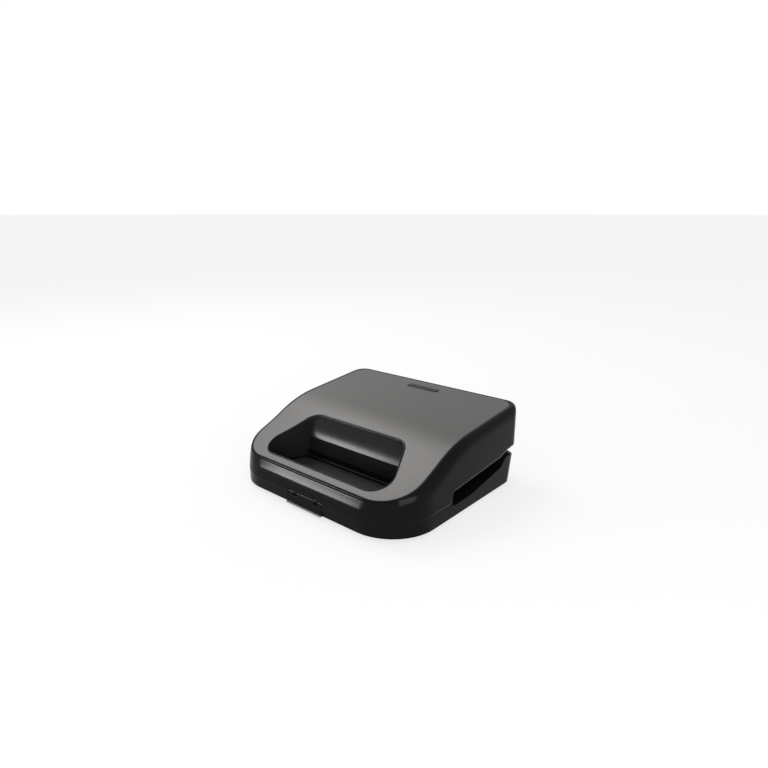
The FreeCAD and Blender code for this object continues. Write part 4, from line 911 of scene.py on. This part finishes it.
class SANDWICH_OT_lens(bpy.types.Operator):
    """Makes the smoked lens and the lamps under it"""

    bl_idname = "sandwich.lens"
    bl_label = "Indicator lens"

    def execute(self, context):
        lens = piece("smoked_lens", lens_surface(), "lens", "lid", ("indicator_lens",))
        second_finish(lens, "gloss", np.arange(len(lens.data.polygons)) < LENS_RIM_ROWS * LENS_POINTS)
        dress("red", "lamp_power")
        dress("green", "lamp_ready")
        dress("board", "lamp_board")
        return {"FINISHED"}


FOOT = ((0.05, 4.4), (7.6, 4.4), (8.0, 4.1), (8.0, 3.2), (7.55, 3.0), (7.5, 2.6), (7.95, 2.3), (8.0, 1.2),
        (7.7, 0.4), (7.0, 0.05), (6.2, 0.0), (5.6, 0.35), (5.2, 0.6), (0.05, 0.6))
SCREW_TIP = ((0.05, 10.4), (0.7, 10.0))
SHANK_RADIUS, SHANK_TOP = 1.5, 9.6
RIDGE_DEPTH, RIDGE_STEP, RIDGE_ROWS = 0.3, 0.35, 23
SCREW_RIDGES = tuple((SHANK_RADIUS - RIDGE_DEPTH * (row % 2), SHANK_TOP - RIDGE_STEP * row)
                     for row in range(RIDGE_ROWS))
SCREW_HEAD = ((SHANK_RADIUS, 1.4), (2.85, 1.4), (3.0, 1.2), (3.0, 0.7), (2.85, 0.35), (2.5, 0.12),
              (2.1, 0.03))
RECESS_RADII = np.linspace(2.0, 0.05, 14)
RECESS_LEVEL, RECESS_DEPTH, RECESS_REACH, RECESS_FADE = 0.02, 0.9, 1.9, 0.4
SLOT_HALF, SLOT_FADE = 0.5, 0.15
TURNED_POINTS = 48


def node_foot(node):
    """Middle of a CAD node's box in plan, at its lowest height, in millimetres."""
    points, _ = cad_copy(node)
    low, high = points.min(axis=0), points.max(axis=0)
    return np.array([(low[0] + high[0]) / 2, (low[1] + high[1]) / 2, low[2]])


def ring(radius, height, angle):
    """A level circle of points."""
    return np.column_stack([radius * np.cos(angle), radius * np.sin(angle), np.full(len(angle), height)])


def turned(node, section):
    """A section of radii and heights, from the top, turned about the upright axis of a CAD node."""
    angle = -ring_angles(TURNED_POINTS)
    rows = [ring(radius, height, angle) for radius, height in section]
    return capped(np.array(rows) + node_foot(node))


def screw(node):
    """A screw with its head down, turned from a section: ridged shank, domed head and a recess where the
    head's plane is within half a slot of either of two lines that cross at the middle."""
    angle = -ring_angles(TURNED_POINTS)
    rows = [ring(radius, height, angle) for radius, height in SCREW_TIP + SCREW_RIDGES + SCREW_HEAD]
    for radius in RECESS_RADII:
        face = ring(radius, RECESS_LEVEL, angle)
        across = np.clip((SLOT_HALF - abs(face[:, :2]).min(axis=1)) / SLOT_FADE, 0, 1)
        along = np.clip((RECESS_REACH - radius) / RECESS_FADE, 0, 1)
        face[:, 2] += RECESS_DEPTH * across * along
        rows.append(face)
    return capped(np.array(rows) + node_foot(node))


class SANDWICH_OT_fittings(bpy.types.Operator):
    """Finishes the feet, screws, hinge pins, gland and the parts inside"""

    bl_idname = "sandwich.fittings"
    bl_label = "Fittings"

    def execute(self, context):
        for node in [n for n in NODES if n.startswith("foot_")]:
            piece(node + "_pad", turned(node, FOOT), "rubber", "base", (node,))
        for node in [n for n in NODES if "_screw_" in n]:
            piece(node + "_cross", screw(node), "steel", node.split("_")[0], (node,))
        for node in ("hinge_pin_left", "hinge_pin_right"):
            softened(node + "_rod", node, "steel", "base", PIN_ROUND, segments=3)
        softened("gland_ring", "cord_gland", "rubber", "base", SMALL_ROUND, segments=3)
        dress("steel", *(n for n in NODES if n.endswith(("_heater", "_reflector")) or "_clip_" in n))
        dress("ceramic", "terminal_block", "thermostat", "thermal_fuse")
        return {"FINISHED"}


# Name, place and aim in metres, width and height in metres, power in watts.
LAMPS = (
    ("overhead_panel", (-0.95, 0.15, 1.35), (0, 0, 0.05), 0.8, 0.8, 8),
    ("front_left_panel", (-0.856, -1.05, 0.12), (0, 0, 0.05), 0.305, 0.17, 7.2),
    ("front_right_panel", (1.02, -0.59, 0.25), (0.1, -0.08, 0.035), 0.65, 0.45, 6.5),
)
CAMERA_PLACE, CAMERA_AIM = (0.4393, -0.4896, 0.3100), (-0.0044, 0.0227, 0.1117)
CAMERA_LENS, CAMERA_SENSOR = 28.03, 36.0
FLOOR_RINGS = np.array([40.0, 12.0, 4.0, 1.5, 0.5, 0.00001]) / MM
FLOOR_POINTS = 64
FLOOR_GLOW = 0.72
SURROUND_LIGHT = 0.75


def panel_light(name, place, aim, width, height, power):
    """A soft rectangular lamp that looks at a point."""
    data = bpy.data.lights.new(name, "AREA")
    data.shape = "RECTANGLE"
    data.size, data.size_y = width, height
    data.energy = power
    lamp = bpy.data.objects.new(name, data)
    bpy.context.scene.collection.objects.link(lamp)
    aim_at(lamp, place, aim)


def aim_at(thing, place, aim):
    """Puts a lamp or camera at a place, level, looking along its own -Z at a point."""
    back = np.subtract(place, aim)
    back = back / np.linalg.norm(back)
    right = np.cross((0, 0, 1), back)
    right = right / np.linalg.norm(right)
    up = np.cross(back, right)
    matrix = np.eye(4)
    matrix[:3, 0], matrix[:3, 1], matrix[:3, 2], matrix[:3, 3] = right, up, back, place
    thing.matrix_world = Matrix(matrix.tolist())


class SANDWICH_OT_stage(bpy.types.Operator):
    """Makes the floor, the lamps, the pale surroundings and the camera"""

    bl_idname = "sandwich.stage"
    bl_label = "Stage"

    def execute(self, context):
        scene = context.scene
        scene.view_settings.view_transform = "Standard"
        self.floor()
        self.surroundings(scene)
        for lamp in LAMPS:
            panel_light(*lamp)
        data = bpy.data.cameras.new("camera")
        data.lens = CAMERA_LENS
        data.sensor_width = CAMERA_SENSOR
        camera = bpy.data.objects.new("camera", data)
        scene.collection.objects.link(camera)
        aim_at(camera, CAMERA_PLACE, CAMERA_AIM)
        scene.camera = camera
        return {"FINISHED"}

    def floor(self):
        """A wide round sheet whose points lie on rings, flat at table height."""
        angle = ring_angles(FLOOR_POINTS)
        points, faces = surface([ring(radius, 0, angle) for radius in FLOOR_RINGS])
        mesh = bpy.data.meshes.new("floor")
        mesh.from_pydata((points * MM).tolist(), [], faces.tolist())
        f = Finish("pale_floor")
        cloud = f.noise(0.004, 3.0)
        tone = f.mix(cloud, shade(colour("floor"), 0.99), colour("floor"))
        mesh.materials.append(self.lit(f, tone))
        floor = bpy.data.objects.new("floor", mesh)
        bpy.context.scene.collection.objects.link(floor)

    def lit(self, f, tone):
        """A dull floor mixed with plain white for what the camera and reflections see, so shadows stay
        soft."""
        dull = f.node("ShaderNodeBsdfDiffuse", None, {"Color": tone})
        white = f.node("ShaderNodeEmission", None, {"Color": (1, 1, 1, 1), "Strength": 1.0})
        camera, glossy, clear = (f.node("ShaderNodeLightPath", output=key)
                                 for key in ("Is Camera Ray", "Is Glossy Ray", "Is Transmission Ray"))
        seen = (camera + glossy + clear) * FLOOR_GLOW
        return f.ended(f.node("ShaderNodeMixShader", None, {0: seen, 1: dull, 2: white}))

    def surroundings(self, scene):
        """White for what the camera and reflections see, softer for the light that falls on the object."""
        world = bpy.data.worlds.new("studio")
        scene.world = world
        world.use_nodes = True
        nodes, links = world.node_tree.nodes, world.node_tree.links
        nodes.clear()
        path = nodes.new("ShaderNodeLightPath")
        seen = path.outputs["Is Camera Ray"]
        for key in ("Is Glossy Ray", "Is Transmission Ray"):
            either = nodes.new("ShaderNodeMath")
            either.operation = "MAXIMUM"
            links.new(seen, either.inputs[0])
            links.new(path.outputs[key], either.inputs[1])
            seen = either.outputs[0]
        level = nodes.new("ShaderNodeMapRange")
        links.new(seen, level.inputs["Value"])
        level.inputs["To Min"].default_value = SURROUND_LIGHT
        level.inputs["To Max"].default_value = 1.0
        light = nodes.new("ShaderNodeBackground")
        light.inputs["Color"].default_value = (1, 1, 1, 1)
        links.new(level.outputs["Result"], light.inputs["Strength"])
        end = nodes.new("ShaderNodeOutputWorld")
        links.new(light.outputs[0], end.inputs["Surface"])


OPERATORS = (
    SANDWICH_OT_lid_housing,
    SANDWICH_OT_steel_sheet,
    SANDWICH_OT_grip,
    SANDWICH_OT_lid_underside,
    SANDWICH_OT_base,
    SANDWICH_OT_plates,
    SANDWICH_OT_catches,
    SANDWICH_OT_front_clip,
    SANDWICH_OT_lens,
    SANDWICH_OT_fittings,
    SANDWICH_OT_stage,
)


class SANDWICH_PT_panel(bpy.types.Panel):
    """Lists the pieces, sizes and colours of the sandwich maker"""

    bl_idname = "SANDWICH_PT_panel"
    bl_label = "Sandwich maker"
    bl_space_type = "VIEW_3D"
    bl_region_type = "UI"
    bl_category = "Sandwich maker"

    def draw(self, context):
        layout = self.layout
        for group in (context.scene.sandwich_sizes, context.scene.sandwich_colours):
            column = layout.column(align=True)
            for key in type(group).__annotations__:
                column.prop(group, key)
        for operator in OPERATORS:
            layout.operator(operator.bl_idname)


CLASSES = (SandwichSizes, SandwichColours, *OPERATORS, SANDWICH_PT_panel)


def register():
    for made in CLASSES:
        bpy.utils.register_class(made)
    bpy.types.Scene.sandwich_sizes = PointerProperty(type=SandwichSizes)
    bpy.types.Scene.sandwich_colours = PointerProperty(type=SandwichColours)


def unregister():
    del bpy.types.Scene.sandwich_colours
    del bpy.types.Scene.sandwich_sizes
    for made in reversed(CLASSES):
        bpy.utils.unregister_class(made)


def main():
    register()
    for operator in OPERATORS:
        family, name = operator.bl_idname.split(".")
        getattr(getattr(bpy.ops, family), name)()


if __name__ == "__main__":
    main()
